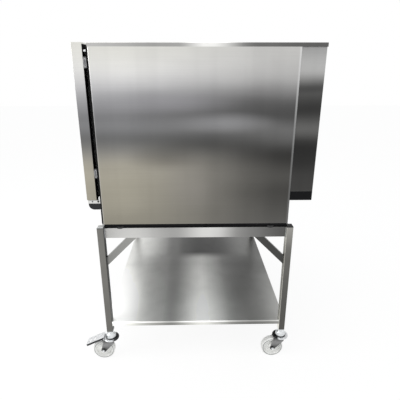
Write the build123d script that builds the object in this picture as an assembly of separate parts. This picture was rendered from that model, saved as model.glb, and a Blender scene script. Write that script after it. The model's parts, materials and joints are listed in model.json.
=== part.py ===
from build123d import *
import os
from math import asin, cos, degrees, radians, sin, sqrt

os.makedirs("parts", exist_ok=True)

# A combi oven on a wheeled stand, in millimetres.
# The origin is on the floor under the middle of the stand.
# +X is the oven's right side, seen from the front, -Y is its front and +Z is up.

# Stand frame
stand_length = 910.0
stand_width = 1070.0
leg_wide = 30.0
leg_deep = 35.0
leg_wall = 2.0
leg_length = 573.0
cap_thick = 6.0
cap_plug = 16.0
rail_height = 50.0
rail_deep = 18.0
rail_wall = 1.5
rail_drop = 3.0
brace_reach = 147.0
brace_wide = 32.0
weld_gap = 0.1
cap_bevel = 2.0
cut_past = 1.0

# Shelf of the stand
shelf_top = 226.0
shelf_lip = 23.5
shelf_sheet = 1.5
shelf_inset = 2.0
shelf_corner_gap = 0.3
shelf_bend = 2.5

# Castors
castor_height = 167.0
wheel_diameter = 110.0
wheel_width = 32.0
wheel_trail = 40.0
hub_width = 36.0
hub_radius = 15.0
tread_depth = 12.0
tread_bevel = 4.0
web_thick = 8.0
web_slope = 5.5
axle_radius = 5.0
axle_head = 5.0
axle_head_radius = 9.0
fork_sheet = 3.0
fork_gap = 0.3
fork_foot_radius = 12.0
fork_head_front = 34.0
fork_head_rear = 16.0
fork_head_drop = 22.0
crown_radius = 40.0
crown_thick = 5.0
crown_over_wheel = 11.0
crown_bevel = 2.0
head_radius = 25.0
head_height = 19.7
head_bevel = 2.0
dome_start = 0.35
dome_brow = 30.0
neck_radius = 15.0
kingpin_radius = 6.0
kingpin_nut = 6.0
kingpin_nut_radius = 10.0
flange_thick = 5.0
stem_plug = 30.0
turn_gap = 0.3
bearing_gap = 0.05
pedal_width = 50.0
pedal_sheet = 2.5
pedal_rim = 10.0
pedal_slope = 24.8
pedal_start = 33.0
pedal_end = 125.0
pedal_top_z = 138.0
pedal_pivot_y = 46.0
pedal_pivot_z = 120.0
pedal_pin_radius = 3.0
pedal_ear_radius = 7.0
pedal_pin_past = 2.0
pedal_heel = (9.0, 4.0)
pedal_hollow_start = 40.0
pedal_slots = (0.56, 0.80)
pedal_slot_wide = 9.0
pedal_slot_share = 0.62
front_left_turn = 118.0

# Oven feet and base
foot_height = 10.5
foot_radius = 18.0
foot_spacing = 700.0
base_height = 16.0
base_inset = 12.0
base_bar = 40.0
sheet = 1.5
vent_count = 12
vent_start = 90.0
vent_pitch = 20.0
vent_rise = 75.0
vent_wide = 8.0
vent_high = 56.0

# Oven body
body_front = -428.0
frame_proud = 5.7
frame_inset = 9.0
trim_thick = 2.0
trim_proud = 1.5
trim_notch = 3.0
side_length = 849.3
side_height = 754.0
side_fold = 15.0
side_bend = 5.0
rim_height = 16.0
rim_bend = 3.0
rear_depth = 102.0
rear_inset = 8.0
rear_step = 109.0
skirt_height = 42.5
skirt_slots = 15
skirt_slot_pitch = 62.0
skirt_slot_long = 44.0
skirt_slot_wide = 8.0
skirt_slot_place = 44.0
pass_gap = 0.3

# Cooking chamber
chamber_from_door = 70.0
wall_space = 53.5
floor_space = 100.0
roof_space = 21.0
back_space = 4.0
chamber_corner = 20.0
insulation_thick = 50.0
seal_width = 12.0
seal_offset = 4.0
seal_squeeze_gap = 0.3
seal_bevel = 2.5
rack_levels = 6
rack_first = 45.0
rack_top_space = 53.0
rack_start = 55.0
rack_baffle_gap = 25.0
runner_wide = 22.0
runner_thick = 4.0
post_wide = 20.0
post_thick = 6.0
post_places = (0.06, 0.5, 0.94)
post_over = 34.0
baffle_space = 118.0
baffle_margin = 32.0
baffle_side_bend = 25.0
baffle_foot_radius = 6.0
baffle_foot_x = 0.42
baffle_foot_z = 0.4
intake_radius = 140.0
intake_slots = 11
intake_slot_wide = 14.0
intake_slot_pitch = 24.0
fan_radius = 165.0
fan_depth = 78.0
fan_back_gap = 14.0
fan_blades = 18
fan_blade_length = 42.0
fan_blade_thick = 2.0
fan_blade_lean = 28.0
fan_plate = 3.0
fan_hub_setback = 18.0
shaft_radius = 8.0
motor_radius = 72.0
motor_flange = 12.0
motor_length = 84.0
motor_fins = 12
motor_fin_deep = 14.0
motor_fin_thick = 3.0
shaft_hole = 20.0
heater_radius = 205.0
heater_tube = 5.0
heater_lead = 6.0
heater_turns = 2
heater_pitch = 26.0
heater_rear_gap = 30.0
heater_lead_spacing = 56.0
nozzle_x = 0.33
nozzle_z = 0.3
nozzle_radius = 7.0
nozzle_reach = 70.0
nozzle_tip_radius = 5.0
nozzle_tip_length = 26.0
nozzle_tip_setback = 8.0
drain_from_left = 155.0
drain_from_front = 398.0
drain_radius = 24.0
drain_wall = 1.5
drain_drop = 98.0
drain_bend = 45.0
drain_out = 133.0
spigot_radius = 25.0
spigot_length = 60.0
strainer_radius = 52.0
strainer_thick = 4.0
strainer_slots = 10
strainer_slot_wide = 5.0
strainer_slot_long = 0.42
strainer_slot_place = 0.58
lamp_radius = 36.0
lamp_thick = 5.5
lamp_drop = 83.0
lamp_place = 0.72

# Door
panel_width = 186.0
panel_gap = 4.0
door_right_inset = 2.0
door_rise = 117.5
door_thick = 42.5
door_gap = 14.5
door_flange = 60.0
door_sheet = 1.5
door_edge = 2.0
outer_pane = 6.0
outer_pane_hold = 12.0
inner_pane = 5.0
inner_pane_from_left = 42.0
inner_pane_from_right = 33.0
inner_pane_from_bottom = 8.0
inner_pane_from_top = 21.5
pane_corner = 12.0
hinge_from_edge = 6.0
hinge_low_rise = 121.0
hinge_high_drop = 75.5
hinge_length = 40.0
knuckle_radius = 7.0
hinge_pin_radius = 3.0
hinge_cap_thick = 2.0
leaf_reach = 26.0
leaf_thick = 2.0
leaf_relief = 3.0

# Door handle and latch
handle_from_left = 23.0
handle_rise = 299.0
rose_radius = 22.0
rose_thick = 12.0
rose_edge = 3.0
spindle_radius = 6.0
spindle_gap = 0.4
handle_hub_radius = 18.0
handle_hub_length = 22.0
grip_length = 205.0
grip_bend_drop = 62.0
grip_bend = 45.0
grip_stand_off = 58.0
grip_wide = 26.0
grip_deep = 18.0
grip_edge = 5.0
stud_height = 44.0
stud_neck_radius = 3.0
stud_head_radius = 9.0
stud_reach = 40.0
stud_head = 5.0
stud_nut = 4.0
stud_nut_radius = 7.0
stud_slot_wide = 24.0
stud_slot_high = 26.0
cam_thick = 5.0
cam_hub_radius = 13.0
cam_tip_radius = 9.0
cam_reach = 47.0
cam_turn = 35.0
cam_gap = 1.0

# Control panel
display_width = 150.0
display_height = 280.0
display_drop = 203.5
display_hold = 8.0
display_glass = 3.0
knob_drop = 250.0
knob_radius = 30.0
knob_height = 22.0
knob_cap = 3.0
knob_flutes = 10
knob_flute_radius = 5.0
knob_shaft = 4.0
knob_seat = 12.0
button_drop = 100.0
button_radius = 11.0
button_proud = 5.0
button_seat = 8.0
button_edge = 1.5

# Drip gutter and tray under the door
gutter_drop = 2.5
gutter_height = 14.5
gutter_reach = 54.0
gutter_right_inset = 5.0
gutter_mouth_long = 120.0
gutter_mouth_wide = 8.0
tray_height = 29.0
tray_reach = 52.0
tray_bend = 24.0
tray_wall = 2.0

# Rear and top connections
connection_rise = 66.5
inlets_from_left = (145.0, 205.0)
inlet_radius = 13.2
inlet_length = 30.0
inlet_wall = 3.0
inlet_nut = 8.0
inlet_nut_over = 5.0
gland_from_left = 80.0
gland_radius = 17.0
gland_bore = 9.0
gland_length = 33.0
gland_nut = 7.0
gland_nut_over = 4.0
gland_dome = 10.0
gland_lip = 3.0
duct_from_left = 75.0
duct_from_rear = 50.0
duct_radius = 34.0
stub_radius = 30.0
stub_wall = 2.0
stub_height = 30.0

# Places that follow from the sizes above
leg_x = stand_width / 2 - leg_deep / 2
leg_y = stand_length / 2 - leg_wide / 2
leg_inner_x = stand_width / 2 - leg_deep
leg_inner_y = stand_length / 2 - leg_wide
leg_top = castor_height + leg_length
rail_top = leg_top - rail_drop
rail_bottom = rail_top - rail_height
rail_x = leg_inner_x + rail_deep / 2
rail_y = leg_inner_y + rail_deep / 2

half_width = stand_width / 2
side_front = body_front + frame_proud
main_rear = side_front + side_length
rear_skin = main_rear + rear_depth
base_bottom = rail_top + foot_height
body_bottom = base_bottom + base_height
rim_bottom = body_bottom + side_height
body_top = rim_bottom + rim_height
rear_bottom = body_bottom + rear_step

door_back = body_front - door_gap
door_front = door_back - door_thick
panel_right = panel_width - half_width
door_left = panel_right + panel_gap
door_right = half_width - door_right_inset
door_bottom = body_bottom + door_rise
door_top = body_top
hinge_x = door_right - hinge_from_edge
hinge_y = body_front - door_gap / 2
hinge_heights = (door_bottom + hinge_low_rise, door_top - hinge_high_drop)
handle_x = door_left + handle_from_left
handle_z = door_bottom + handle_rise
panel_x = (panel_right - half_width) / 2
display_z = door_top - display_drop
knob_z = display_z - knob_drop
button_z = knob_z - button_drop
gutter_top = door_bottom - gutter_drop
gutter_bottom = gutter_top - gutter_height
gutter_right = half_width - gutter_right_inset

chamber_left = door_left + chamber_from_door
chamber_right = half_width - wall_space - insulation_thick - sheet
chamber_width = chamber_right - chamber_left
chamber_floor = body_bottom + floor_space + insulation_thick + sheet
chamber_top = rim_bottom - roof_space - insulation_thick - sheet
chamber_height = chamber_top - chamber_floor
chamber_rear = main_rear - sheet - back_space - insulation_thick - sheet
chamber_mid_x = (chamber_left + chamber_right) / 2
chamber_mid_z = (chamber_floor + chamber_top) / 2
baffle_y = chamber_rear - baffle_space
rack_length = baffle_y - rack_baffle_gap - body_front - rack_start
rack_pitch = (chamber_height - rack_first - rack_top_space) / rack_levels
drain_x = chamber_left + drain_from_left
drain_y = body_front + drain_from_front
drain_level = chamber_floor - drain_drop
drain_end = main_rear + drain_out
duct_x = chamber_left + duct_from_left
duct_y = chamber_rear - duct_from_rear

connection_z = body_bottom + connection_rise
inlet_xs = [inlet - half_width for inlet in inlets_from_left]
gland_x = gland_from_left - half_width

crown_bottom = wheel_diameter + crown_over_wheel
crown_top = crown_bottom + crown_thick
head_bottom = crown_top + turn_gap


def save(shape, name):
    shape.label = name
    export_step(shape, "parts/" + name + ".step")


def save_group(solids, name):
    save(Compound(children=[s.solid() for s in solids]), name)


def block(x, y, z):
    """A box from three pairs of limits."""
    size = (x[1] - x[0], y[1] - y[0], z[1] - z[0])
    middle = (sum(x) / 2, sum(y) / 2, sum(z) / 2)
    return Pos(*middle) * Box(*size)


def rod(start, direction, radius, length):
    """A cylinder that begins at a point and runs along a direction."""
    return Solid.make_cylinder(radius, length, Plane(origin=start, z_dir=direction))


def tube_outline(wide, high, wall):
    """The outline of a rectangular tube."""
    return Rectangle(wide, high) - Rectangle(wide - 2 * wall, high - 2 * wall)


def hexagon(radius):
    return RegularPolygon(radius, 6)


# Stand


def stand_legs():
    tube = extrude(tube_outline(leg_deep, leg_wide, leg_wall), leg_length)
    corners = [(sx * leg_x, sy * leg_y, castor_height) for sx in (1, -1) for sy in (-1, 1)]
    return [Pos(*corner) * tube for corner in corners]


def leg_caps():
    head = extrude(Rectangle(leg_deep, leg_wide), cap_thick)
    head = chamfer(head.faces().sort_by(Axis.Z)[-1].edges(), cap_bevel)
    inner_deep = leg_deep - 2 * leg_wall - weld_gap
    inner_wide = leg_wide - 2 * leg_wall - weld_gap
    plug = Pos(0, 0, -cap_plug) * extrude(Rectangle(inner_deep, inner_wide), cap_plug)
    cap = head + plug
    return [Pos(sx * leg_x, sy * leg_y, leg_top) * cap for sx in (1, -1) for sy in (-1, 1)]


def side_rails():
    outline = tube_outline(rail_deep, rail_height, rail_wall)
    length = 2 * leg_inner_y - 2 * weld_gap
    rail = extrude(Plane.XZ * outline, length / 2, both=True)
    return [Pos(sx * rail_x, 0, rail_top - rail_height / 2) * rail for sx in (1, -1)]


def cross_rails():
    outline = tube_outline(rail_deep, rail_height, rail_wall)
    length = 2 * leg_inner_x - 2 * weld_gap
    rail = extrude(Plane.YZ * outline, length / 2, both=True)
    return [Pos(0, sy * rail_y, rail_top - rail_height / 2) * rail for sy in (-1, 1)]


def corner_braces():
    """A square tube at 45 degrees, cut flush to the leg's face and the rail's underside."""
    tube = extrude(tube_outline(rail_deep, brace_wide, rail_wall), 2 * brace_reach, both=True)
    middle = (brace_reach - brace_wide / sqrt(2)) / 2
    tube = Rot(-45, 0, 0) * tube
    tube = Pos(0, middle, -middle) * tube
    reach = brace_reach + brace_wide
    corner = block((-rail_deep, rail_deep), (weld_gap, reach), (-reach, -weld_gap))
    brace = tube & corner
    braces = []
    for sx in (1, -1):
        front = Pos(sx * rail_x, -leg_inner_y, rail_bottom) * brace
        braces += [front, mirror(front, about=Plane.XZ)]
    return braces


def shelf():
    half_x = half_width - shelf_inset
    half_y = stand_length / 2 - shelf_inset
    outline = Rectangle(2 * half_x, 2 * half_y)
    notch_x = leg_inner_x - shelf_corner_gap
    notch_y = leg_inner_y - shelf_corner_gap
    for sx in (1, -1):
        for sy in (1, -1):
            middle = (sx * (notch_x + half_x) / 2, sy * (notch_y + half_y) / 2)
            outline -= Pos(*middle) * Rectangle(half_x - notch_x, half_y - notch_y)
    body = Pos(0, 0, shelf_top - shelf_lip) * extrude(outline, shelf_lip)
    top_edges = body.faces().sort_by(Axis.Z)[-1].edges()
    body = fillet(top_edges.filter_by(lambda edge: edge.length > 4 * leg_deep), shelf_bend)
    return offset(body, amount=-shelf_sheet, openings=body.faces().sort_by(Axis.Z)[0])


# Castors, drawn with the swivel axis on Z and the wheel trailing towards -Y


def castor_stem():
    """The fixed half: tube plug, flange, neck, domed ball-race head and kingpin."""
    inner_deep = leg_deep - 2 * leg_wall - weld_gap
    inner_wide = leg_wide - 2 * leg_wall - weld_gap
    flange_z = castor_height - flange_thick
    plug = Pos(0, 0, castor_height) * extrude(Rectangle(inner_deep, inner_wide), stem_plug)
    flange = Pos(0, 0, flange_z) * extrude(Rectangle(leg_deep, leg_wide), flange_thick)
    shoulder = head_bottom + dome_start * head_height
    brow = radians(dome_brow)
    brow_point = (head_radius * cos(brow), shoulder + head_radius * sin(brow))
    dome_end = (neck_radius, shoulder + sqrt(head_radius ** 2 - neck_radius ** 2))
    with BuildSketch(Plane.XZ) as half:
        with BuildLine():
            Polyline(
                (0, head_bottom),
                (head_radius - head_bevel, head_bottom),
                (head_radius, head_bottom + head_bevel),
                (head_radius, shoulder),
                brow_point,
                dome_end,
                (neck_radius, flange_z),
                (0, flange_z),
                (0, head_bottom),
            )
        make_face()
    head = revolve(half.sketch, Axis.Z)
    nut_bottom = crown_bottom - turn_gap - kingpin_nut
    kingpin = rod((0, 0, nut_bottom), (0, 0, 1), kingpin_radius, head_bottom - nut_bottom + head_bevel)
    nut = Pos(0, 0, nut_bottom) * extrude(hexagon(kingpin_nut_radius), kingpin_nut)
    return head + flange + plug + kingpin + nut


def castor_fork(braked):
    """The turning half: round crown, two tapered legs, axle and, if braked, the pedal's pin."""
    leg_face = hub_width / 2 + fork_gap
    axle_z = wheel_diameter / 2
    crown = rod((0, 0, crown_bottom), (0, 0, 1), crown_radius, crown_thick)
    crown = chamfer(crown.edges().filter_by(GeomType.CIRCLE).sort_by(Axis.Z)[-1:], crown_bevel)
    crown -= rod((0, 0, 0), (0, 0, 1), kingpin_radius + bearing_gap, castor_height)
    foot = Pos(-wheel_trail, axle_z) * Circle(fork_foot_radius)
    shoulder = Pos((fork_head_rear - fork_head_front) / 2, crown_bottom - fork_head_drop / 2) * Rectangle(
        fork_head_front + fork_head_rear, fork_head_drop)
    side = make_hull((foot + shoulder).edges())
    if braked:
        lug = Pos(-(pedal_pivot_y + fork_head_front) / 2, pedal_pivot_z) * Rectangle(
            pedal_pivot_y - fork_head_front + cut_past, 2 * pedal_ear_radius)
        side += lug + Pos(-pedal_pivot_y, pedal_pivot_z) * Circle(pedal_ear_radius)
    side -= Pos(-wheel_trail, axle_z) * Circle(axle_radius)
    plate = extrude(Plane.YZ * side, fork_sheet)
    legs = Pos(leg_face, 0, 0) * plate + Pos(-leg_face - fork_sheet, 0, 0) * plate
    if braked:
        legs -= rod((-leg_face - fork_sheet, -pedal_pivot_y, pedal_pivot_z), (1, 0, 0),
                    pedal_pin_radius, 2 * (leg_face + fork_sheet))
    fork = crown + legs
    outer = leg_face + fork_sheet
    axle = rod((-outer - axle_head, -wheel_trail, axle_z), (1, 0, 0), axle_radius, 2 * (outer + axle_head))
    for end in (-outer - axle_head, outer):
        hex_head = extrude(Plane.YZ * Pos(-wheel_trail, axle_z) * hexagon(axle_head_radius), axle_head)
        axle += Pos(end, 0, 0) * hex_head
    pieces = [fork, axle]
    if braked:
        reach = pedal_width / 2 + pedal_pin_past
        pieces.append(rod((-reach, -pedal_pivot_y, pedal_pivot_z), (1, 0, 0), pedal_pin_radius, 2 * reach))
    return pieces


def castor_wheel():
    """A hard wheel with a bevelled tread, a thin web and a long hub."""
    radius = wheel_diameter / 2
    half = wheel_width / 2
    with BuildSketch(Plane.XY) as section:
        with BuildLine():
            Polyline(
                (-hub_width / 2, axle_radius + bearing_gap),
                (-hub_width / 2, hub_radius),
                (-web_thick / 2, hub_radius + web_slope),
                (-web_thick / 2, radius - tread_depth - web_slope),
                (-half, radius - tread_depth),
                (-half, radius - tread_bevel),
                (-half + tread_bevel, radius),
                (0, radius),
                (0, axle_radius + bearing_gap),
                (-hub_width / 2, axle_radius + bearing_gap),
            )
        make_face()
    half_wheel = revolve(section.sketch, Axis.X)
    wheel = half_wheel + mirror(half_wheel, about=Plane.YZ)
    return Pos(0, -wheel_trail, radius) * wheel


def brake_pedal():
    """A pressed tread with turned-down rims and two foot slots, hung on a pin across the fork."""
    slope = radians(pedal_slope)
    run = pedal_end - pedal_start
    drop = run * sin(slope) / cos(slope)
    normal = (pedal_rim * sin(slope), -pedal_rim * cos(slope))
    start, end = (-pedal_start, pedal_top_z), (-pedal_end, pedal_top_z - drop)
    low_end = (end[0] + normal[0], end[1] + normal[1])
    low_start = (start[0] + normal[0] - pedal_heel[0], start[1] + normal[1] - pedal_heel[1])
    side = make_face(Polyline(start, end, low_end, low_start, start))
    side += Pos(-pedal_pivot_y, pedal_pivot_z) * Circle(pedal_ear_radius)
    body = extrude(Plane.YZ * side, pedal_width / 2, both=True)
    rise = pedal_hollow_start * sin(slope) / cos(slope)
    inner_start = (start[0] + pedal_hollow_start, start[1] + rise - pedal_sheet / cos(slope))
    inner_end = (end[0] + pedal_sheet, end[1] + (pedal_sheet * sin(slope) - pedal_sheet) / cos(slope))
    inner = make_face(Polyline(inner_start, inner_end, (inner_end[0], 0), (inner_start[0], 0), inner_start))
    body -= extrude(Plane.YZ * inner, pedal_width / 2 - pedal_sheet, both=True)
    body -= rod((-pedal_width, -pedal_pivot_y, pedal_pivot_z), (1, 0, 0),
                pedal_pin_radius + bearing_gap, 2 * pedal_width)
    slot = Box(pedal_width * pedal_slot_share, pedal_slot_wide, 4 * drop)
    for share in pedal_slots:
        body -= Pos(0, -pedal_start - run * share, pedal_top_z - drop) * slot
    return body


# Oven base and covers


def oven_feet():
    foot = rod((0, 0, rail_top), (0, 0, 1), foot_radius, foot_height)
    return [Pos(sx * rail_x, sy * foot_spacing / 2, 0) * foot for sx in (1, -1) for sy in (-1, 1)]


def base_frame():
    """A ring of black channel, open to the floor pan above it."""
    x = half_width - base_inset
    front, rear = side_front + base_inset, main_rear - base_inset
    ring = block((-x, x), (front, rear), (base_bottom, body_bottom))
    inner_x = x - base_bar
    ring -= block((-inner_x, inner_x), (front + base_bar, rear - base_bar), (base_bottom, body_bottom))
    return offset(ring, amount=-sheet, openings=ring.faces().sort_by(Axis.Z)[-1])


def floor_pan():
    x = half_width - side_fold - weld_gap
    return block((-x, x), (side_front, main_rear - sheet), (body_bottom, body_bottom + sheet))


def side_panel():
    """The right side skin: a folded tray with rounded upright edges."""
    body = block((half_width - side_fold, half_width), (side_front, main_rear), (body_bottom, rim_bottom))
    uprights = body.edges().filter_by(Axis.Z).sort_by(Axis.X)[-2:]
    body = fillet(uprights, side_bend)
    return offset(body, amount=-sheet, openings=body.faces().sort_by(Axis.X)[0])


def left_panel():
    """The left skin mirrors the right one and has air slots low down for the wiring bay."""
    panel = mirror(side_panel(), about=Plane.YZ)
    slot = Pos(-half_width, 0, 0) * Box(side_bend, vent_wide, vent_high)
    for place in range(vent_count):
        panel -= Pos(0, side_front + vent_start + vent_pitch * place, body_bottom + vent_rise) * slot
    return panel


def top_cover():
    body = block((-half_width, half_width), (side_front, rear_skin), (rim_bottom, body_top))
    body = fillet(body.faces().sort_by(Axis.Z)[-1].edges(), rim_bend)
    cover = offset(body, amount=-sheet, openings=body.faces().sort_by(Axis.Z)[0])
    return cover - rod((duct_x, duct_y, rim_bottom), (0, 0, 1), duct_radius + weld_gap, 2 * rim_height)


def rear_panel():
    """The upper sheet with the fan shaft's hole, and below it the strip that takes the connections."""
    x = half_width - side_fold - weld_gap
    upper = block((-x, x), (main_rear - sheet, main_rear), (rear_bottom, rim_bottom))
    upper -= rod((chamber_mid_x, 0, chamber_mid_z), (0, 1, 0), 5 * shaft_radius, rear_skin)
    strip = block((-x, x), (main_rear - sheet, main_rear), (body_bottom + sheet, rear_bottom))
    strip -= rod((drain_x, 0, drain_level), (0, 1, 0), drain_radius + pass_gap, rear_skin)
    for x in inlet_xs:
        strip -= rod((x, 0, connection_z), (0, 1, 0), inlet_radius, rear_skin)
    strip -= rod((gland_x, 0, connection_z), (0, 1, 0), gland_bore, rear_skin)
    return [upper, strip]


def rear_housing():
    """The set-in box behind the body that covers the fan motor."""
    x = half_width - rear_inset
    bottom = rear_bottom + skirt_height
    body = block((-x, x), (main_rear, rear_skin), (bottom, rim_bottom))
    body = fillet(body.edges().filter_by(Axis.Z).sort_by(Axis.Y)[-2:], side_bend)
    faces = body.faces()
    openings = [faces.sort_by(Axis.Y)[0], faces.sort_by(Axis.Z)[0]]
    return offset(body, amount=-sheet, openings=openings)


def rear_skirt():
    """The black foot of the rear housing, with a row of air slots in its floor."""
    x = half_width - rear_inset
    body = block((-x, x), (main_rear, rear_skin), (rear_bottom, rear_bottom + skirt_height))
    body = fillet(body.edges().filter_by(Axis.Z).sort_by(Axis.Y)[-2:], side_bend)
    faces = body.faces()
    openings = [faces.sort_by(Axis.Y)[0], faces.sort_by(Axis.Z)[-1]]
    skirt = offset(body, amount=-sheet, openings=openings)
    slot = Box(skirt_slot_long, skirt_slot_wide, 4 * sheet)
    for place in range(skirt_slots):
        slot_x = skirt_slot_pitch * (place - (skirt_slots - 1) / 2)
        skirt -= Pos(slot_x, main_rear + skirt_slot_place, rear_bottom) * slot
    return skirt


def front_frame():
    """The body's face: a folded sheet whose opening takes the chamber's mouth."""
    x = half_width - frame_inset
    body = block((-x, x), (body_front, side_front), (body_bottom, rim_bottom))
    frame = offset(body, amount=-sheet, openings=body.faces().sort_by(Axis.Y)[-1])
    frame -= chamber_block(sheet, body_front - cut_past, side_front + cut_past)
    stud_seat = (handle_x, body_front - cut_past, handle_z + stud_height)
    return frame - rod(stud_seat, (0, 1, 0), stud_neck_radius + weld_gap, 2 * frame_proud)


def edge_trim():
    """A black strip on the frame's hinge-side end, cut back at the hinges, the gutter and the tray."""
    x = half_width - frame_inset
    strip = block((x, x + trim_thick), (body_front - trim_proud, side_front), (body_bottom, rim_bottom))
    spans = [(z - hinge_length / 2, z + hinge_length / 2) for z in hinge_heights]
    spans.append((gutter_bottom - turn_gap - tray_height, gutter_top))
    for low, high in spans:
        cut = block(
            (x - cut_past, x + trim_thick + cut_past),
            (body_front - trim_proud - cut_past, body_front + turn_gap),
            (low - trim_notch, high + trim_notch),
        )
        strip -= cut
    return strip


# Cooking chamber


def chamber_block(grow, front, rear):
    """The chamber's rounded block, grown by a wall, between two depths."""
    outline = RectangleRounded(chamber_width + 2 * grow, chamber_height + 2 * grow, chamber_corner + grow)
    body = extrude(Plane.XZ * outline, -(rear - front))
    return Pos(chamber_mid_x, front, chamber_mid_z) * body


def drain_hole(radius):
    """A straight cut down through the chamber's floor."""
    return rod((drain_x, drain_y, body_bottom), (0, 0, 1), radius, chamber_mid_z - body_bottom)


def duct_hole(radius):
    """A straight cut up through the chamber's roof."""
    return rod((duct_x, duct_y, chamber_mid_z), (0, 0, 1), radius, body_top - chamber_mid_z)


def chamber_shell():
    shell = chamber_block(sheet, body_front, chamber_rear + sheet)
    shell -= chamber_block(0, body_front - cut_past, chamber_rear)
    shell -= rod((chamber_mid_x, 0, chamber_mid_z), (0, 1, 0), shaft_hole, rear_skin)
    return shell - drain_hole(drain_radius - drain_wall) - duct_hole(stub_radius - stub_wall)


def insulation():
    grow = sheet + insulation_thick
    wool = chamber_block(grow, side_front, chamber_rear + grow)
    wool -= chamber_block(sheet, side_front - cut_past, chamber_rear + sheet)
    wool -= rod((chamber_mid_x, 0, chamber_mid_z), (0, 1, 0), shaft_hole, rear_skin)
    return wool - drain_hole(drain_radius + pass_gap) - duct_hole(duct_radius + pass_gap)


def door_gasket():
    grow_in = sheet + seal_offset
    grow_out = grow_in + seal_width
    front = body_front - (door_gap - inner_pane - seal_squeeze_gap)
    ring = chamber_block(grow_out, front, body_front)
    ring = chamfer(ring.faces().sort_by(Axis.Y)[0].edges(), seal_bevel)
    return ring - chamber_block(grow_in, front - cut_past, body_front + cut_past)


def rack(left):
    """Three posts on the chamber's wall and a flat bar across them for each tray level."""
    wall_x = chamber_left if left else chamber_right
    inward = 1 if left else -1
    near = wall_x + inward * post_thick
    far = near + inward * runner_wide
    start = body_front + rack_start
    top = chamber_floor + rack_first + (rack_levels - 1) * rack_pitch + post_over
    bars = []
    for place in post_places:
        y = start + rack_length * place
        bars.append(block(sorted((wall_x, near)), (y - post_wide / 2, y + post_wide / 2),
                          (chamber_floor + chamber_corner, top)))
    for level in range(rack_levels):
        low = chamber_floor + rack_first + level * rack_pitch
        bars.append(block(sorted((near, far)), (start, start + rack_length), (low, low + runner_thick)))
    return bars


def air_baffle():
    """The panel in front of the fan, with a slotted intake and side edges bent back."""
    x = (chamber_left + baffle_margin, chamber_right - baffle_margin)
    z = (chamber_floor + baffle_margin, chamber_top - baffle_margin)
    plate = block(x, (baffle_y, baffle_y + sheet), z)
    for edge in ((x[0], x[0] + sheet), (x[1] - sheet, x[1])):
        plate += block(edge, (baffle_y, baffle_y + baffle_side_bend), z)
    for place in range(intake_slots):
        offset_x = (place - (intake_slots - 1) / 2) * intake_slot_pitch
        slot = Box(intake_slot_wide, 4 * sheet, 2 * sqrt(intake_radius ** 2 - offset_x ** 2))
        plate -= Pos(chamber_mid_x + offset_x, baffle_y, chamber_mid_z) * slot
    foot_length = chamber_rear - baffle_y - sheet
    for sx in (-baffle_foot_x, baffle_foot_x):
        for sz in (-baffle_foot_z, baffle_foot_z):
            foot = (chamber_mid_x + sx * chamber_width, baffle_y + sheet, chamber_mid_z + sz * chamber_height)
            plate += rod(foot, (0, 1, 0), baffle_foot_radius, foot_length)
    return plate


def fan_wheel():
    """A radial fan: back plate, leaning blades, front ring, hub and the motor's shaft."""
    back = chamber_rear - fan_back_gap
    front = back - fan_depth
    here = (chamber_mid_x, front, chamber_mid_z)
    plate = rod((chamber_mid_x, back - fan_plate, chamber_mid_z), (0, 1, 0), fan_radius, fan_plate)
    ring = rod(here, (0, 1, 0), fan_radius, fan_plate)
    ring -= rod(here, (0, 1, 0), fan_radius - fan_blade_length, fan_plate)
    wheel = plate + ring
    blade_mid = fan_radius - fan_blade_length / 2 - fan_plate
    blade_depth = fan_depth - fan_plate
    blade = Rot(0, fan_blade_lean, 0) * Box(fan_blade_length, blade_depth, fan_blade_thick)
    blade = Pos(blade_mid, 0, 0) * blade
    for count in range(fan_blades):
        turned = Rot(0, 360 * count / fan_blades, 0) * blade
        wheel += Pos(chamber_mid_x, (front + back) / 2, chamber_mid_z) * turned
    hub_front = front + fan_hub_setback
    hub = rod((chamber_mid_x, hub_front, chamber_mid_z), (0, 1, 0), 3 * shaft_radius, back - hub_front)
    shaft_front = hub_front - shaft_radius
    shaft_end = main_rear + motor_length - 2.5 * shaft_radius
    shaft = rod((chamber_mid_x, shaft_front, chamber_mid_z), (0, 1, 0), shaft_radius, shaft_end - shaft_front)
    return wheel + hub + shaft


def fan_motor():
    """A finned motor whose shaft bore is blind."""
    start = (chamber_mid_x, main_rear, chamber_mid_z)
    core_radius = motor_radius - motor_fin_deep
    motor = rod(start, (0, 1, 0), motor_radius, motor_flange)
    motor += rod(start, (0, 1, 0), core_radius, motor_length)
    fin_length = motor_length - motor_flange
    fin = Box(motor_fin_deep, fin_length, motor_fin_thick)
    fin = Pos(core_radius, (fin_length + motor_flange) / 2, 0) * fin
    for count in range(motor_fins):
        motor += Pos(*start) * (Rot(0, 360 / motor_fins * count, 0) * fin)
    return motor - rod(start, (0, 1, 0), shaft_radius + bearing_gap, motor_length - 2 * shaft_radius)


def heating_coil():
    """Open rings of six-sided tube round the fan, each ending in straight leads to the rear wall."""
    coil = None
    for turn in range(heater_turns):
        y = chamber_rear - heater_rear_gap - turn * heater_pitch
        gap = degrees(asin(heater_lead_spacing * (heater_turns - turn) / heater_radius))
        centre = Plane(origin=(chamber_mid_x, y, chamber_mid_z), z_dir=(0, -1, 0))
        path = centre * CenterArc((0, 0), heater_radius, gap - 90, 360 - 2 * gap)
        section = Plane(origin=path @ 0, z_dir=path % 0) * hexagon(heater_tube)
        ring = sweep(section, path)
        for end in (path @ 0, path @ 1):
            foot = Plane(origin=(end.X, end.Y - heater_tube, end.Z), z_dir=(0, 1, 0))
            ring += extrude(foot * hexagon(heater_lead), chamber_rear - end.Y + heater_tube)
        coil = ring if coil is None else coil + ring
    return coil


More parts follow.
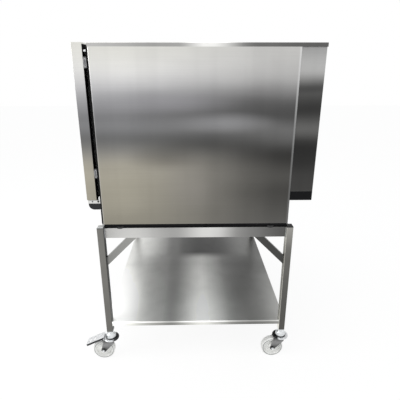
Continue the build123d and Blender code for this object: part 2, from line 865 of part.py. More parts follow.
def steam_nozzle():
    root = (chamber_mid_x + nozzle_x * chamber_width, chamber_rear, chamber_mid_z + nozzle_z * chamber_height)
    pipe = rod(root, (0, -1, 0), nozzle_radius, nozzle_reach)
    tip_start = (root[0], root[1] - nozzle_reach + nozzle_tip_setback, root[2])
    return pipe + rod(tip_start, (-1, 0, 0), nozzle_tip_radius, nozzle_tip_length)


def chamber_lamp():
    """A round glass cover on the chamber's left wall, between the rack's posts."""
    y = body_front + rack_start + rack_length * lamp_place
    glass = rod((chamber_left, y, chamber_top - lamp_drop), (1, 0, 0), lamp_radius, lamp_thick)
    return chamfer(glass.edges().filter_by(GeomType.CIRCLE).sort_by(Axis.X)[-1:], lamp_thick / 2)


def floor_strainer():
    """A raised disc over the drain, with radial slots."""
    disc = rod((drain_x, drain_y, chamber_floor), (0, 0, 1), strainer_radius, strainer_thick)
    slot = Box(strainer_radius * strainer_slot_long, strainer_slot_wide, 4 * strainer_thick)
    slot = Pos(strainer_radius * strainer_slot_place, 0, 0) * slot
    for count in range(strainer_slots):
        disc -= Pos(drain_x, drain_y, chamber_floor) * (Rot(0, 0, 360 / strainer_slots * count) * slot)
    return disc


def drain_pipe():
    """Three pipe parts: down from the chamber's floor, a bend, and a level run out to a spigot."""
    bore = drain_radius - drain_wall
    bend_top = (drain_x, drain_y, drain_level + drain_bend)
    fall = chamber_floor - sheet - bend_top[2]
    riser = rod(bend_top, (0, 0, 1), drain_radius, fall) - rod(bend_top, (0, 0, 1), bore, fall)
    middle = Plane(origin=(drain_x, drain_y + drain_bend, bend_top[2]), x_dir=(0, 1, 0), z_dir=(1, 0, 0))
    path = middle * CenterArc((0, 0), drain_bend, 180, 90)
    section = Plane(origin=path @ 0, z_dir=path % 0)
    bend = sweep(section * Circle(drain_radius), path) - sweep(section * Circle(bore), path)
    run_start = (drain_x, drain_y + drain_bend, drain_level)
    run_length = drain_end - run_start[1]
    run = rod(run_start, (0, 1, 0), drain_radius, run_length)
    run += rod((drain_x, drain_end, drain_level), (0, -1, 0), spigot_radius, spigot_length)
    run -= rod(run_start, (0, 1, 0), bore, run_length)
    return [riser, bend, run]


# Door


def door_frame():
    """A folded ring of C section; the panes close its front and back windows."""
    body = block((door_left, door_right), (door_front, door_back), (door_bottom, door_top))
    body = fillet(body.edges().filter_by(Axis.Z).sort_by(Axis.Y)[:2], door_edge)
    hollow = block(
        (door_left + door_sheet, door_right - door_sheet),
        (door_front + door_sheet, door_back - door_sheet),
        (door_bottom + door_sheet, door_top - door_sheet),
    )
    window = block(
        (door_left + door_flange, door_right - door_flange),
        (door_front - cut_past, door_back + cut_past),
        (door_bottom + door_flange, door_top - door_flange),
    )
    frame = body - hollow - window
    spindle_hole = (handle_x, door_front - cut_past, handle_z)
    frame -= rod(spindle_hole, (0, 1, 0), spindle_radius + spindle_gap, door_sheet + 2 * cut_past)
    slot = block(
        (handle_x - stud_slot_wide / 2, handle_x + stud_slot_wide / 2),
        (door_back - door_sheet - cut_past, door_back + cut_past),
        (handle_z + stud_height - stud_slot_high / 2, handle_z + stud_height + stud_slot_high / 2),
    )
    return frame - slot


def outer_glass():
    hold = door_flange - outer_pane_hold
    width = door_right - door_left - 2 * hold
    height = door_top - door_bottom - 2 * hold
    middle = ((door_left + door_right) / 2, door_front + door_sheet, (door_bottom + door_top) / 2)
    return Pos(*middle) * extrude(Plane.XZ * RectangleRounded(width, height, pane_corner), -outer_pane)


def inner_glass():
    left, right = door_left + inner_pane_from_left, door_right - inner_pane_from_right
    bottom, top = door_bottom + inner_pane_from_bottom, door_top - inner_pane_from_top
    outline = RectangleRounded(right - left, top - bottom, pane_corner)
    return Pos((left + right) / 2, door_back, (bottom + top) / 2) * extrude(Plane.XZ * outline, -inner_pane)


def knuckle(z, length):
    return rod((hinge_x, hinge_y, z), (0, 0, 1), knuckle_radius, length)


def door_hinge_leaf(z):
    """The door's half of a barrel hinge: one middle knuckle on a leaf."""
    length = hinge_length / 2 - 2 * turn_gap
    low = z - length / 2
    leaf = block((hinge_x - leaf_reach, hinge_x), (door_back, door_back + leaf_thick), (low, low + length))
    leaf += knuckle(low, length)
    bore_start = (hinge_x, hinge_y, z - hinge_length)
    return leaf - rod(bore_start, (0, 0, 1), hinge_pin_radius + bearing_gap, 2 * hinge_length)


def body_hinge_leaf(z):
    """The body's half: two outer knuckles on a leaf."""
    length = hinge_length / 4
    low, high = z - hinge_length / 2, z + hinge_length / 2
    depth = (body_front - leaf_thick, body_front)
    body = block((hinge_x - leaf_reach, hinge_x - knuckle_radius - leaf_relief), depth, (low, high))
    for foot in (low, high - length):
        body += block((hinge_x - leaf_reach, hinge_x), depth, (foot, foot + length))
        body += knuckle(foot, length)
    bore_start = (hinge_x, hinge_y, z - hinge_length)
    return body - rod(bore_start, (0, 0, 1), hinge_pin_radius + bearing_gap, 2 * hinge_length)


def hinge_pin(z):
    pin = rod((hinge_x, hinge_y, z - hinge_length / 2), (0, 0, 1), hinge_pin_radius, hinge_length)
    cap_start = (hinge_x, hinge_y, z + hinge_length / 2)
    return pin + rod(cap_start, (0, 0, 1), knuckle_radius - hinge_cap_thick / 2, hinge_cap_thick)


def handle_rose():
    rose = rod((handle_x, door_front, handle_z), (0, -1, 0), rose_radius, rose_thick)
    rose = chamfer(rose.edges().filter_by(GeomType.CIRCLE).sort_by(Axis.Y)[:1], rose_edge)
    bore_start = (handle_x, door_front + cut_past, handle_z)
    return rose - rod(bore_start, (0, -1, 0), spindle_radius + bearing_gap, rose_thick + 2 * cut_past)


def handle_lever():
    """A turning hub whose grip slants out from the door and then hangs straight down."""
    hub_back = door_front - rose_thick - turn_gap
    hub = rod((handle_x, hub_back, handle_z), (0, -1, 0), handle_hub_radius, handle_hub_length)
    hub = chamfer(hub.edges().filter_by(GeomType.CIRCLE).sort_by(Axis.Y)[:1], rose_edge)
    grip_y = door_front - grip_stand_off
    route = FilletPolyline(
        (handle_x, hub_back - handle_hub_length / 2, handle_z),
        (handle_x, grip_y, handle_z - grip_bend_drop),
        (handle_x, grip_y, handle_z - grip_length),
        radius=grip_bend,
    )
    outline = Rectangle(grip_wide, grip_deep)
    outline = chamfer(outline.vertices(), grip_edge)
    grip = sweep(Plane(origin=route @ 0, x_dir=(1, 0, 0), z_dir=route % 0) * outline, route)
    grip = chamfer(grip.faces().sort_by(Axis.Z)[0].edges(), rose_edge)
    spindle_end = body_front - stud_reach + stud_head + cam_gap + cam_thick
    spindle = rod((handle_x, hub_back, handle_z), (0, 1, 0), spindle_radius, spindle_end - hub_back)
    return hub + grip + spindle


def latch_cam():
    """A tapered catch on the spindle that swings in beside the stud's neck, behind its head."""
    front = body_front - stud_reach + stud_head + cam_gap
    hub = Circle(cam_hub_radius)
    tip = Pos(0, cam_reach) * Circle(cam_tip_radius)
    outline = make_hull((hub + tip).edges()) - Circle(spindle_radius + weld_gap)
    beside_stud = degrees(asin((cam_tip_radius + stud_neck_radius + cam_gap) / stud_height))
    plate = extrude(Plane.XZ * outline, -cam_thick)
    return Pos(handle_x, front, handle_z) * (Rot(0, cam_turn + beside_stud, 0) * plate)


def latch_stud():
    """A headed stud on the body's face, and the nut that locks it there."""
    foot = (handle_x, body_front + sheet, handle_z + stud_height)
    stud = rod(foot, (0, -1, 0), stud_neck_radius, stud_reach + sheet)
    stud += rod((foot[0], body_front - stud_reach, foot[2]), (0, 1, 0), stud_head_radius, stud_head)
    face = Pos(foot[0], body_front, foot[2])
    nut = extrude(Plane.XZ * (hexagon(stud_nut_radius) - Circle(stud_neck_radius + weld_gap)), stud_nut)
    return [stud, face * nut]


# Control panel


def control_fascia():
    """A folded box beside the door, cut for the display, the selector's shaft and the button."""
    body = block((-half_width, panel_right), (door_front, body_front), (door_bottom, door_top))
    body = fillet(body.edges().filter_by(Axis.Z).sort_by(Axis.Y)[:2], door_edge)
    box = offset(body, amount=-sheet, openings=body.faces().sort_by(Axis.Y)[-1])
    window = RectangleRounded(display_width, display_height, pane_corner / 2)
    cut_front = door_front - cut_past
    box -= Pos(panel_x, cut_front, display_z) * extrude(Plane.XZ * window, -sheet - 2 * cut_past)
    box += rod((panel_x, door_front + sheet, knob_z), (0, 1, 0), 3 * knob_shaft, knob_seat)
    box += rod((panel_x, door_front + sheet, button_z), (0, 1, 0), button_radius + 2 * sheet, button_seat)
    box -= rod((panel_x, cut_front, knob_z), (0, 1, 0), knob_shaft + bearing_gap, 2 * knob_seat)
    return box - rod((panel_x, cut_front, button_z), (0, 1, 0), button_radius + bearing_gap, 2 * knob_seat)


def display_pane():
    width, height = display_width + 2 * display_hold, display_height + 2 * display_hold
    outline = RectangleRounded(width, height, pane_corner)
    return Pos(panel_x, door_front + sheet, display_z) * extrude(Plane.XZ * outline, -display_glass)


def selector_knob():
    """A round selector with finger flutes, a raised cap and its shaft."""
    outline = Circle(knob_radius)
    flute = Pos(knob_radius + knob_flute_radius / 2, 0) * Circle(knob_flute_radius)
    for count in range(knob_flutes):
        outline -= Rot(0, 0, 360 / knob_flutes * count) * flute
    body = Pos(panel_x, door_front - turn_gap, knob_z) * extrude(Plane.XZ * outline, knob_height - knob_cap)
    face = door_front - turn_gap - knob_height + knob_cap
    cap = rod((panel_x, face, knob_z), (0, -1, 0), knob_radius - knob_flute_radius, knob_cap)
    return body + cap + rod((panel_x, face, knob_z), (0, 1, 0), knob_shaft, knob_height + knob_seat)


def power_button():
    length = button_proud + sheet + button_seat
    button = rod((panel_x, door_front - button_proud, button_z), (0, 1, 0), button_radius, length)
    return chamfer(button.edges().filter_by(GeomType.CIRCLE).sort_by(Axis.Y)[:1], button_edge)


# Drip gutter and tray


def drip_gutter():
    """A channel on the body's face that catches what runs off the door."""
    front = body_front - gutter_reach
    body = block((door_left, gutter_right), (front, body_front), (gutter_bottom, gutter_top))
    gutter = offset(body, amount=-sheet, openings=body.faces().sort_by(Axis.Z)[-1])
    mouth = Box(gutter_mouth_long, gutter_mouth_wide, 4 * sheet)
    return gutter - Pos(0, front + gutter_reach / 2, gutter_bottom) * mouth


def drip_tray():
    """A trough with a rounded front that hangs under the gutter and pulls out forward."""
    top = gutter_bottom - turn_gap
    bottom = top - tray_height
    back = body_front - turn_gap
    front = body_front - tray_reach
    with BuildSketch(Plane.YZ) as side:
        with BuildLine():
            Line((back, top), (front, top))
            Line((front, top), (front, bottom + tray_bend))
            CenterArc((front + tray_bend, bottom + tray_bend), tray_bend, 180, 90)
            Line((front + tray_bend, bottom), (back, bottom))
            Line((back, bottom), (back, top))
        make_face()
    body = Pos(door_left, 0, 0) * extrude(side.sketch, gutter_right - door_left)
    return offset(body, amount=-tray_wall, openings=body.faces().sort_by(Axis.Z)[-1])


# Rear connections


def water_inlets():
    solids = []
    for x in inlet_xs:
        start = (x, main_rear, connection_z)
        stub = rod(start, (0, 1, 0), inlet_radius, inlet_length)
        stub += Pos(*start) * extrude(Plane.XZ * hexagon(inlet_radius + inlet_nut_over), -inlet_nut)
        solids.append(stub - rod(start, (0, 1, 0), inlet_radius - inlet_wall, inlet_length))
    return solids


def cable_gland():
    start = (gland_x, main_rear, connection_z)
    straight = gland_length - gland_dome
    body = Pos(*start) * extrude(Plane.XZ * hexagon(gland_radius + gland_nut_over), -gland_nut)
    body += rod(start, (0, 1, 0), gland_radius, straight)
    dome_foot = Plane(origin=(gland_x, main_rear + straight, connection_z), z_dir=(0, 1, 0))
    body += Solid.make_cone(gland_radius, gland_bore + gland_lip, gland_dome, dome_foot)
    return body - rod(start, (0, 1, 0), gland_bore, gland_length)


def exhaust_stub():
    """The steam's way out: a duct from the chamber's roof that ends in a spigot above the cover."""
    foot = (duct_x, duct_y, chamber_top + sheet)
    duct = rod(foot, (0, 0, 1), duct_radius, body_top - foot[2])
    duct += rod(foot, (0, 0, 1), stub_radius, body_top + stub_height - foot[2])
    return duct - rod(foot, (0, 0, 1), stub_radius - stub_wall, body_top + 2 * stub_height - foot[2])


# Writing every piece

save_group(stand_legs(), "stand_legs")
save_group(leg_caps(), "leg_caps")
save_group(side_rails(), "side_rails")
save_group(cross_rails(), "cross_rails")
save_group(corner_braces(), "corner_braces")
save(shelf(), "shelf")

corners = {
    "front_right": (1, -1, 0.0, True),
    "front_left": (-1, -1, front_left_turn, True),
    "rear_right": (1, 1, 0.0, False),
    "rear_left": (-1, 1, 0.0, False),
}
stems = []
for name, (sx, sy, turn, braked) in corners.items():
    place = Pos(sx * leg_x, sy * leg_y, 0)
    stems.append(place * castor_stem())
    save_group([place * Rot(0, 0, turn) * piece for piece in castor_fork(braked)], "castor_fork_" + name)
    save(place * Rot(0, 0, turn) * castor_wheel(), "castor_wheel_" + name)
    if braked:
        save(place * Rot(0, 0, turn) * brake_pedal(), "brake_pedal_" + name)
save_group(stems, "castor_stems")

save_group(oven_feet(), "oven_feet")
save(base_frame(), "base_frame")
save(floor_pan(), "floor_pan")
save(side_panel(), "right_side_panel")
save(left_panel(), "left_side_panel")
save(top_cover(), "top_cover")
save_group(rear_panel(), "rear_panel")
save(rear_housing(), "rear_housing")
save(rear_skirt(), "rear_skirt")
save(front_frame(), "front_frame")
save(edge_trim(), "edge_trim")

save(chamber_shell(), "chamber_shell")
save(insulation(), "insulation")
save(door_gasket(), "door_gasket")
save_group(rack(True), "rack_left")
save_group(rack(False), "rack_right")
save(air_baffle(), "air_baffle")
save(fan_wheel(), "fan_wheel")
save(fan_motor(), "fan_motor")
save(heating_coil(), "heating_coil")
save(steam_nozzle(), "steam_nozzle")
save(chamber_lamp(), "chamber_lamp")
save(floor_strainer(), "floor_strainer")
save_group(drain_pipe(), "drain_pipe")

save(door_frame(), "door_frame")
save(outer_glass(), "outer_glass")
save(inner_glass(), "inner_glass")
save_group([door_hinge_leaf(z) for z in hinge_heights], "door_hinge_leaves")
save_group([body_hinge_leaf(z) for z in hinge_heights], "body_hinge_leaves")
save_group([hinge_pin(z) for z in hinge_heights], "hinge_pins")
save(handle_rose(), "handle_rose")
save(handle_lever(), "handle_lever")
save(latch_cam(), "latch_cam")
save_group(latch_stud(), "latch_stud")

save(control_fascia(), "control_fascia")
save(display_pane(), "display_pane")
save(selector_knob(), "selector_knob")
save(power_button(), "power_button")
save(drip_gutter(), "drip_gutter")
save(drip_tray(), "drip_tray")
save_group(water_inlets(), "water_inlets")
save(cable_gland(), "cable_gland")
save(exhaust_stub(), "exhaust_stub")
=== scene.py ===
import json
import math

import bmesh
import bpy
from mathutils import Matrix, Vector


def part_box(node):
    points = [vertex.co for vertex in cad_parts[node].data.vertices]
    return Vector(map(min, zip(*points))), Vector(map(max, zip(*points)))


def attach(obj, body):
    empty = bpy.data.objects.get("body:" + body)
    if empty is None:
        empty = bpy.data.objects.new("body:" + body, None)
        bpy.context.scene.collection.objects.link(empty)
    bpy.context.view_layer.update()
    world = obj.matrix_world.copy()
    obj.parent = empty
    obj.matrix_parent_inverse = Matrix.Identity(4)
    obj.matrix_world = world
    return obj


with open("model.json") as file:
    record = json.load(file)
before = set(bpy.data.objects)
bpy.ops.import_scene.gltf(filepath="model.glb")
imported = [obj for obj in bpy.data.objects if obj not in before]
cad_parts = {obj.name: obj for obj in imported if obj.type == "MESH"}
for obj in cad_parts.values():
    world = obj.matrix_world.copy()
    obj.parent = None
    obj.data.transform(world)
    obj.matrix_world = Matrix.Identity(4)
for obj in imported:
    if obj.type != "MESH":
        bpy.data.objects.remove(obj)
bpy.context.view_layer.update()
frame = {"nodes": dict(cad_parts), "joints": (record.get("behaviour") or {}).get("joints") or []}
nodes = frame["nodes"]
joints = {joint["name"]: joint for joint in frame["joints"]}
print("pieces from the drawing:", len(nodes))

# %% [markdown]
# Blender keeps data apart from the objects that show it, and a shader is a tree of joined nodes.
# Three small functions make an object, make a node with its settings, and join nodes.
# %% Helpers for objects and node trees


def new_object(name, data):
    """A new object in the scene that shows a mesh, a lamp or a camera."""
    made = bpy.data.objects.new(name, data)
    bpy.context.scene.collection.objects.link(made)
    return made


def add(tree, kind, **settings):
    """One node, with its plain settings and, under inputs, the values of its sockets."""
    values = settings.pop("inputs", {})
    node = tree.nodes.new(kind)
    for key, value in settings.items():
        setattr(node, key, value)
    for key, value in values.items():
        node.inputs[key].default_value = value
    return node


def wire(tree, *runs):
    """Joins nodes; each run is a node, its output, the next node and its input."""
    for source, output, target, entry in runs:
        tree.links.new(source.outputs[output], target.inputs[entry])


print("helpers ready")

# %% [markdown]
# The photograph looks at the oven's right side from about eye level, a little down.
# A camera is a place and a direction, so its axes are written out and put in one matrix.
# %% Camera
camera_data = bpy.data.cameras.new("camera")
camera_data.sensor_width = 36.0
camera_data.lens = 33.26
camera_data.clip_end = 60.0
camera = new_object("camera", camera_data)
stands_at = (2.1026, -0.0112, 1.431)
looks_along = Vector((-0.94307, 0.01913, -0.33205)).normalized()
to_the_right = Vector((0.02028, 0.99979, 0.0)).normalized()
upward = to_the_right.cross(looks_along).normalized()
axes = Matrix((to_the_right, upward, -looks_along)).transposed().to_4x4()
camera.matrix_world = Matrix.Translation(stands_at) @ axes
bpy.context.scene.camera = camera
print("camera looks down by", round(math.degrees(math.asin(-looks_along.z)), 1), "degrees")

# %% [markdown]
# The studio is a pale floor under an even white sky, as for a catalogue cut-out.
# The camera, mirrors and glass see plain white, while soft light falls on the oven from all round.
# %% Studio sky


def seen_directly(tree):
    """A node that gives 1 for rays from the camera, a mirror or glass, and 0 for the rest."""
    path = add(tree, "ShaderNodeLightPath")
    first = add(tree, "ShaderNodeMath", operation="MAXIMUM")
    second = add(tree, "ShaderNodeMath", operation="MAXIMUM")
    wire(tree, (path, "Is Camera Ray", first, 0), (path, "Is Glossy Ray", first, 1),
         (first, 0, second, 0), (path, "Is Transmission Ray", second, 1))
    return second


world = bpy.data.worlds.new("studio")
bpy.context.scene.world = world
world.use_nodes = True
sky = world.node_tree
sky.nodes.clear()
sky_out = add(sky, "ShaderNodeOutputWorld")
seen = add(sky, "ShaderNodeBackground", inputs={"Color": (1.0, 1.0, 1.0, 1.0), "Strength": 1.0})
lights_up = add(sky, "ShaderNodeBackground", inputs={"Color": (0.97, 0.985, 1.0, 1.0), "Strength": 0.72})
choose = add(sky, "ShaderNodeMixShader")
wire(sky, (seen_directly(sky), 0, choose, "Fac"), (lights_up, 0, choose, 1), (seen, 0, choose, 2),
     (choose, 0, sky_out, "Surface"))
print("sky ready")

# %% [markdown]
# The floor is mostly its own even white, with a small share of ordinary matte white under it.
# That share is what darkens where the oven stands, so a soft shadow stays on a white page.
# %% Studio floor
reach = 14.0
floor_mesh = bpy.data.meshes.new("floor")
floor_mesh.from_pydata(
    [(-reach, -reach, 0), (reach, -reach, 0), (reach, reach, 0), (-reach, reach, 0)], [], [(0, 1, 2, 3)]
)
floor = new_object("floor", floor_mesh)
floor_material = bpy.data.materials.new("floor_white")
floor_material.use_nodes = True
tree = floor_material.node_tree
tree.nodes.clear()
floor_out = add(tree, "ShaderNodeOutputMaterial")
matte = add(tree, "ShaderNodeBsdfDiffuse", inputs={"Color": (0.9, 0.9, 0.89, 1.0)})
glow = add(tree, "ShaderNodeEmission", inputs={"Strength": 1.03})
share = add(tree, "ShaderNodeMath", operation="MULTIPLY", inputs={1: 0.88})
mixed = add(tree, "ShaderNodeMixShader")
wire(tree, (seen_directly(tree), 0, share, 0), (share, 0, mixed, "Fac"), (matte, 0, mixed, 1),
     (glow, 0, mixed, 2), (mixed, 0, floor_out, "Surface"))
floor.data.materials.append(floor_material)
bpy.context.scene.view_settings.view_transform = "Standard"
print("floor ready")

# %% Studio lamps


def soft_box(name, place, aim, width, height, power):
    """A large rectangular lamp at a place, turned towards a point."""
    lamp = bpy.data.lights.new(name, "AREA")
    lamp.shape = "RECTANGLE"
    lamp.size = width
    lamp.size_y = height
    lamp.energy = power
    turn = (Vector(aim) - Vector(place)).to_track_quat("-Z", "Y").to_matrix().to_4x4()
    new_object(name, lamp).matrix_world = Matrix.Translation(place) @ turn


soft_box("ceiling_light", (0.4, -0.6, 3.6), (0, 0, 0.8), 3.0, 3.0, 50)
soft_box("front_light", (1.6, -3.2, 2.2), (0, 0, 0.9), 1.6, 1.6, 32)
print("lamps:", len(bpy.data.lights))

# %% [markdown]
# Several finishes share the same small effects: brushing lines, slow drifts of tone, worn edges,
# which on steel are painted edge highlights as well, and finger marks. Each effect is a node group,
# so it is built once and then tuned by its inputs.
# A group only puts out values that change over the surface. The shader stays in the material.
# %% Helper for effect groups


def new_group(name, values, *outputs):
    """A node group that takes a place and some values to tune it, and puts out numbers."""
    group = bpy.data.node_groups.new(name, "ShaderNodeTree")
    group.interface.new_socket("Place", in_out="INPUT", socket_type="NodeSocketVector")
    for label, value in values.items():
        kind = "NodeSocketVector" if isinstance(value, tuple) else "NodeSocketFloat"
        group.interface.new_socket(label, in_out="INPUT", socket_type=kind).default_value = value
    for label in outputs:
        group.interface.new_socket(label, in_out="OUTPUT", socket_type="NodeSocketFloat")
    return group, group.nodes.new("NodeGroupInput"), group.nodes.new("NodeGroupOutput")


print("groups can be made")

# %% Effect: brushing lines
brush_lines, start, end = new_group("brush_lines", {"Stretch": (900.0, 6.0, 900.0)}, "Height", "Tone")
stretched = add(brush_lines, "ShaderNodeVectorMath", operation="MULTIPLY")
fine = add(brush_lines, "ShaderNodeTexNoise", inputs={"Scale": 1.0, "Detail": 3.0, "Roughness": 0.65})
coarse = add(brush_lines, "ShaderNodeTexNoise", inputs={"Scale": 0.22, "Detail": 2.0, "Roughness": 0.5})
both = add(brush_lines, "ShaderNodeMath", operation="ADD")
half = add(brush_lines, "ShaderNodeMath", operation="MULTIPLY", inputs={1: 0.5})
wire(brush_lines, (start, "Place", stretched, 0), (start, "Stretch", stretched, 1),
     (stretched, 0, fine, "Vector"), (stretched, 0, coarse, "Vector"),
     (fine, "Fac", both, 0), (coarse, "Fac", both, 1), (both, 0, half, 0),
     (fine, "Fac", end, "Height"), (half, 0, end, "Tone"))
print("effect ready:", brush_lines.name)

# %% Effect: slow drift of tone
tone_drift, start, end = new_group(
    "tone_drift", {"Stretch": (1.0, 1.2, 9.0), "Low": 0.35, "High": 0.65}, "Mask")
stretched = add(tone_drift, "ShaderNodeVectorMath", operation="MULTIPLY")
cloud = add(tone_drift, "ShaderNodeTexNoise", inputs={"Scale": 1.0, "Detail": 1.5, "Roughness": 0.45})
spread = add(tone_drift, "ShaderNodeMapRange", interpolation_type="SMOOTHSTEP")
wire(tone_drift, (start, "Place", stretched, 0), (start, "Stretch", stretched, 1),
     (stretched, 0, cloud, "Vector"), (cloud, "Fac", spread, "Value"),
     (start, "Low", spread, "From Min"), (start, "High", spread, "From Max"),
     (spread, "Result", end, "Mask"))
print("effect ready:", tone_drift.name)

# %% Effect: worn edges, also painted edge highlights
edge_wear_and_highlight, start, end = new_group("edge_wear_and_highlight", {"Radius": 0.002}, "Mask")
rounded_off = add(edge_wear_and_highlight, "ShaderNodeBevel", samples=6)
surface = add(edge_wear_and_highlight, "ShaderNodeNewGeometry")
match = add(edge_wear_and_highlight, "ShaderNodeVectorMath", operation="DOT_PRODUCT")
turned_away = add(edge_wear_and_highlight, "ShaderNodeMapRange", inputs={"From Min": 0.99, "From Max": 0.8})
chips = add(edge_wear_and_highlight, "ShaderNodeTexNoise", inputs={"Scale": 160.0, "Detail": 2.0})
broken = add(edge_wear_and_highlight, "ShaderNodeMath", operation="MULTIPLY")
wire(edge_wear_and_highlight, (start, "Radius", rounded_off, "Radius"), (rounded_off, "Normal", match, 0),
     (surface, "Normal", match, 1), (match, "Value", turned_away, "Value"),
     (start, "Place", chips, "Vector"), (turned_away, "Result", broken, 0),
     (chips, "Fac", broken, 1), (broken, 0, end, "Mask"))
print("effect ready:", edge_wear_and_highlight.name)

# %% Effect: finger marks and haze
finger_marks, start, end = new_group("finger_marks", {"Size": 9.0}, "Mask")
patches = add(finger_marks, "ShaderNodeTexNoise",
              inputs={"Detail": 4.0, "Roughness": 0.6, "Distortion": 0.6})
clear = add(finger_marks, "ShaderNodeMapRange", inputs={"From Min": 0.5, "From Max": 0.72})
wire(finger_marks, (start, "Place", patches, "Vector"), (start, "Size", patches, "Scale"),
     (patches, "Fac", clear, "Value"), (clear, "Result", end, "Mask"))
print("effect ready:", finger_marks.name)

# %% [markdown]
# A finish is a material with one Principled shader. Its place on the object comes from the
# object's own coordinates, which are the oven's metres, so a tone can follow the real sheet.
# %% Helpers for finishes


class Finish:
    """A material under construction, with short ways to place groups and join sockets."""

    def __init__(self, name, metallic, roughness):
        self.material = bpy.data.materials.new(name)
        self.material.use_nodes = True
        self.tree = self.material.node_tree
        self.tree.nodes.clear()
        out = self.node("ShaderNodeOutputMaterial")
        self.shader = self.node("ShaderNodeBsdfPrincipled",
                                inputs={"Metallic": metallic, "Roughness": roughness})
        self.join(self.shader.outputs["BSDF"], out.inputs["Surface"])
        self.place = self.node("ShaderNodeTexCoord").outputs["Object"]
        split = self.node("ShaderNodeSeparateXYZ")
        self.join(self.place, split.inputs[0])
        self.x, self.y, self.z = split.outputs

    def join(self, output, target):
        self.tree.links.new(output, target)

    def node(self, kind, **settings):
        return add(self.tree, kind, **settings)

    def effect(self, group, **values):
        node = self.node("ShaderNodeGroup", node_tree=group, inputs=values)
        self.join(self.place, node.inputs["Place"])
        return node

    def mask(self, group, **values):
        return self.effect(group, **values).outputs["Mask"]

    def mottle(self, scale):
        """Soft clouds of the same size along all three axes; a larger scale makes them smaller."""
        return self.mask(tone_drift, Stretch=(scale, scale, scale))

    def between(self, value, low, high, to_low=0.0, to_high=1.0, smooth=False):
        """Maps a value from one range to another, in a straight line or eased at both ends."""
        kind = "SMOOTHSTEP" if smooth else "LINEAR"
        node = self.node("ShaderNodeMapRange", interpolation_type=kind, inputs={
            "From Min": low, "From Max": high, "To Min": to_low, "To Max": to_high})
        self.join(value, node.inputs["Value"])
        return node.outputs["Result"]

    def ramp(self, value, stops):
        """Greys or colours at places from 0 to 1, joined by an even curve."""
        node = self.tree.nodes.new("ShaderNodeValToRGB")
        self.join(value, node.inputs["Fac"])
        band = node.color_ramp
        band.interpolation = "CARDINAL" if len(stops) > 3 else "LINEAR"
        while len(band.elements) < len(stops):
            band.elements.new(0.5)
        for element, (position, colour) in zip(band.elements, stops):
            element.position = position
            element.color = (colour, colour, colour, 1.0) if isinstance(colour, float) else (*colour, 1.0)
        return node.outputs["Color"]

    def mix(self, mask, first, second, blend="MIX"):
        """Blends two colours by a mask; each is a socket or a plain colour."""
        node = self.node("ShaderNodeMix", data_type="RGBA", blend_type=blend)
        # The node has sockets for each kind of data: its colours are inputs 6 and 7 and output 2.
        for source, number in ((mask, 0), (first, 6), (second, 7)):
            target = node.inputs[number]
            if isinstance(source, (int, float)):
                target.default_value = source
            elif isinstance(source, tuple):
                target.default_value = (*source, 1.0)
            else:
                self.join(source, target)
        return node.outputs[2]

    def times(self, first, second):
        return self.mix(1.0, first, second, "MULTIPLY")

    def shade(self, tone, mask, outside, inside):
        """Multiplies a tone by one grey where a mask is 0 and by another where it is 1."""
        return self.times(tone, self.ramp(mask, [(0.0, outside), (1.0, inside)]))

    def lay(self, tone, mask, amount, colour):
        """Lays a colour over a tone by a mask, up to an amount."""
        return self.mix(self.between(mask, 0.0, 1.0, 0.0, amount), tone, colour)

    def soft_spot(self, middle, reach):
        """A mask of 1 at a place that fades out over its reach along X, Y and Z."""
        away = self.node("ShaderNodeVectorMath", operation="SUBTRACT", inputs={1: middle})
        self.join(self.place, away.inputs[0])
        scaled = self.node("ShaderNodeVectorMath", operation="DIVIDE", inputs={1: reach})
        self.join(away.outputs[0], scaled.inputs[0])
        length = self.node("ShaderNodeVectorMath", operation="LENGTH")
        self.join(scaled.outputs[0], length.inputs[0])
        return self.between(length.outputs["Value"], 1.0, 0.0, smooth=True)

    def bump(self, height, strength, distance):
        node = self.node("ShaderNodeBump", inputs={"Strength": strength, "Distance": distance})
        self.join(height, node.inputs["Height"])
        self.join(node.outputs["Normal"], self.shader.inputs["Normal"])

    def colour(self, socket):
        self.join(socket, self.shader.inputs["Base Color"])

    def rough(self, mask, outside, inside):
        self.join(self.between(mask, 0.0, 1.0, outside, inside), self.shader.inputs["Roughness"])


def dress(material, *names):
    """Gives a material to pieces of the drawing."""
    for name in names:
        nodes[name].data.materials[0] = material


def starting(words):
    return [name for name in nodes if name.startswith(words)]


print("finishes can be made")


# %% [markdown]
# The tones below are written as screen levels from 0 to 255, because that is how a person reads
# them off a picture. A shader wants linear light, so one small function turns one into the other.
# %% Screen levels to light


def grey(level):
    """The linear value of a grey given as a screen level from 0 to 255."""
    share_of_white = level / 255
    return share_of_white / 12.92 if share_of_white <= 0.04045 else ((share_of_white + 0.055) / 1.055) ** 2.4


def levels(stops, lift=1.0):
    """Ramp stops from (place, screen level) pairs."""
    return [(place, float(grey(level) * lift)) for place, level in stops]


print("middle grey is", round(grey(128), 3))

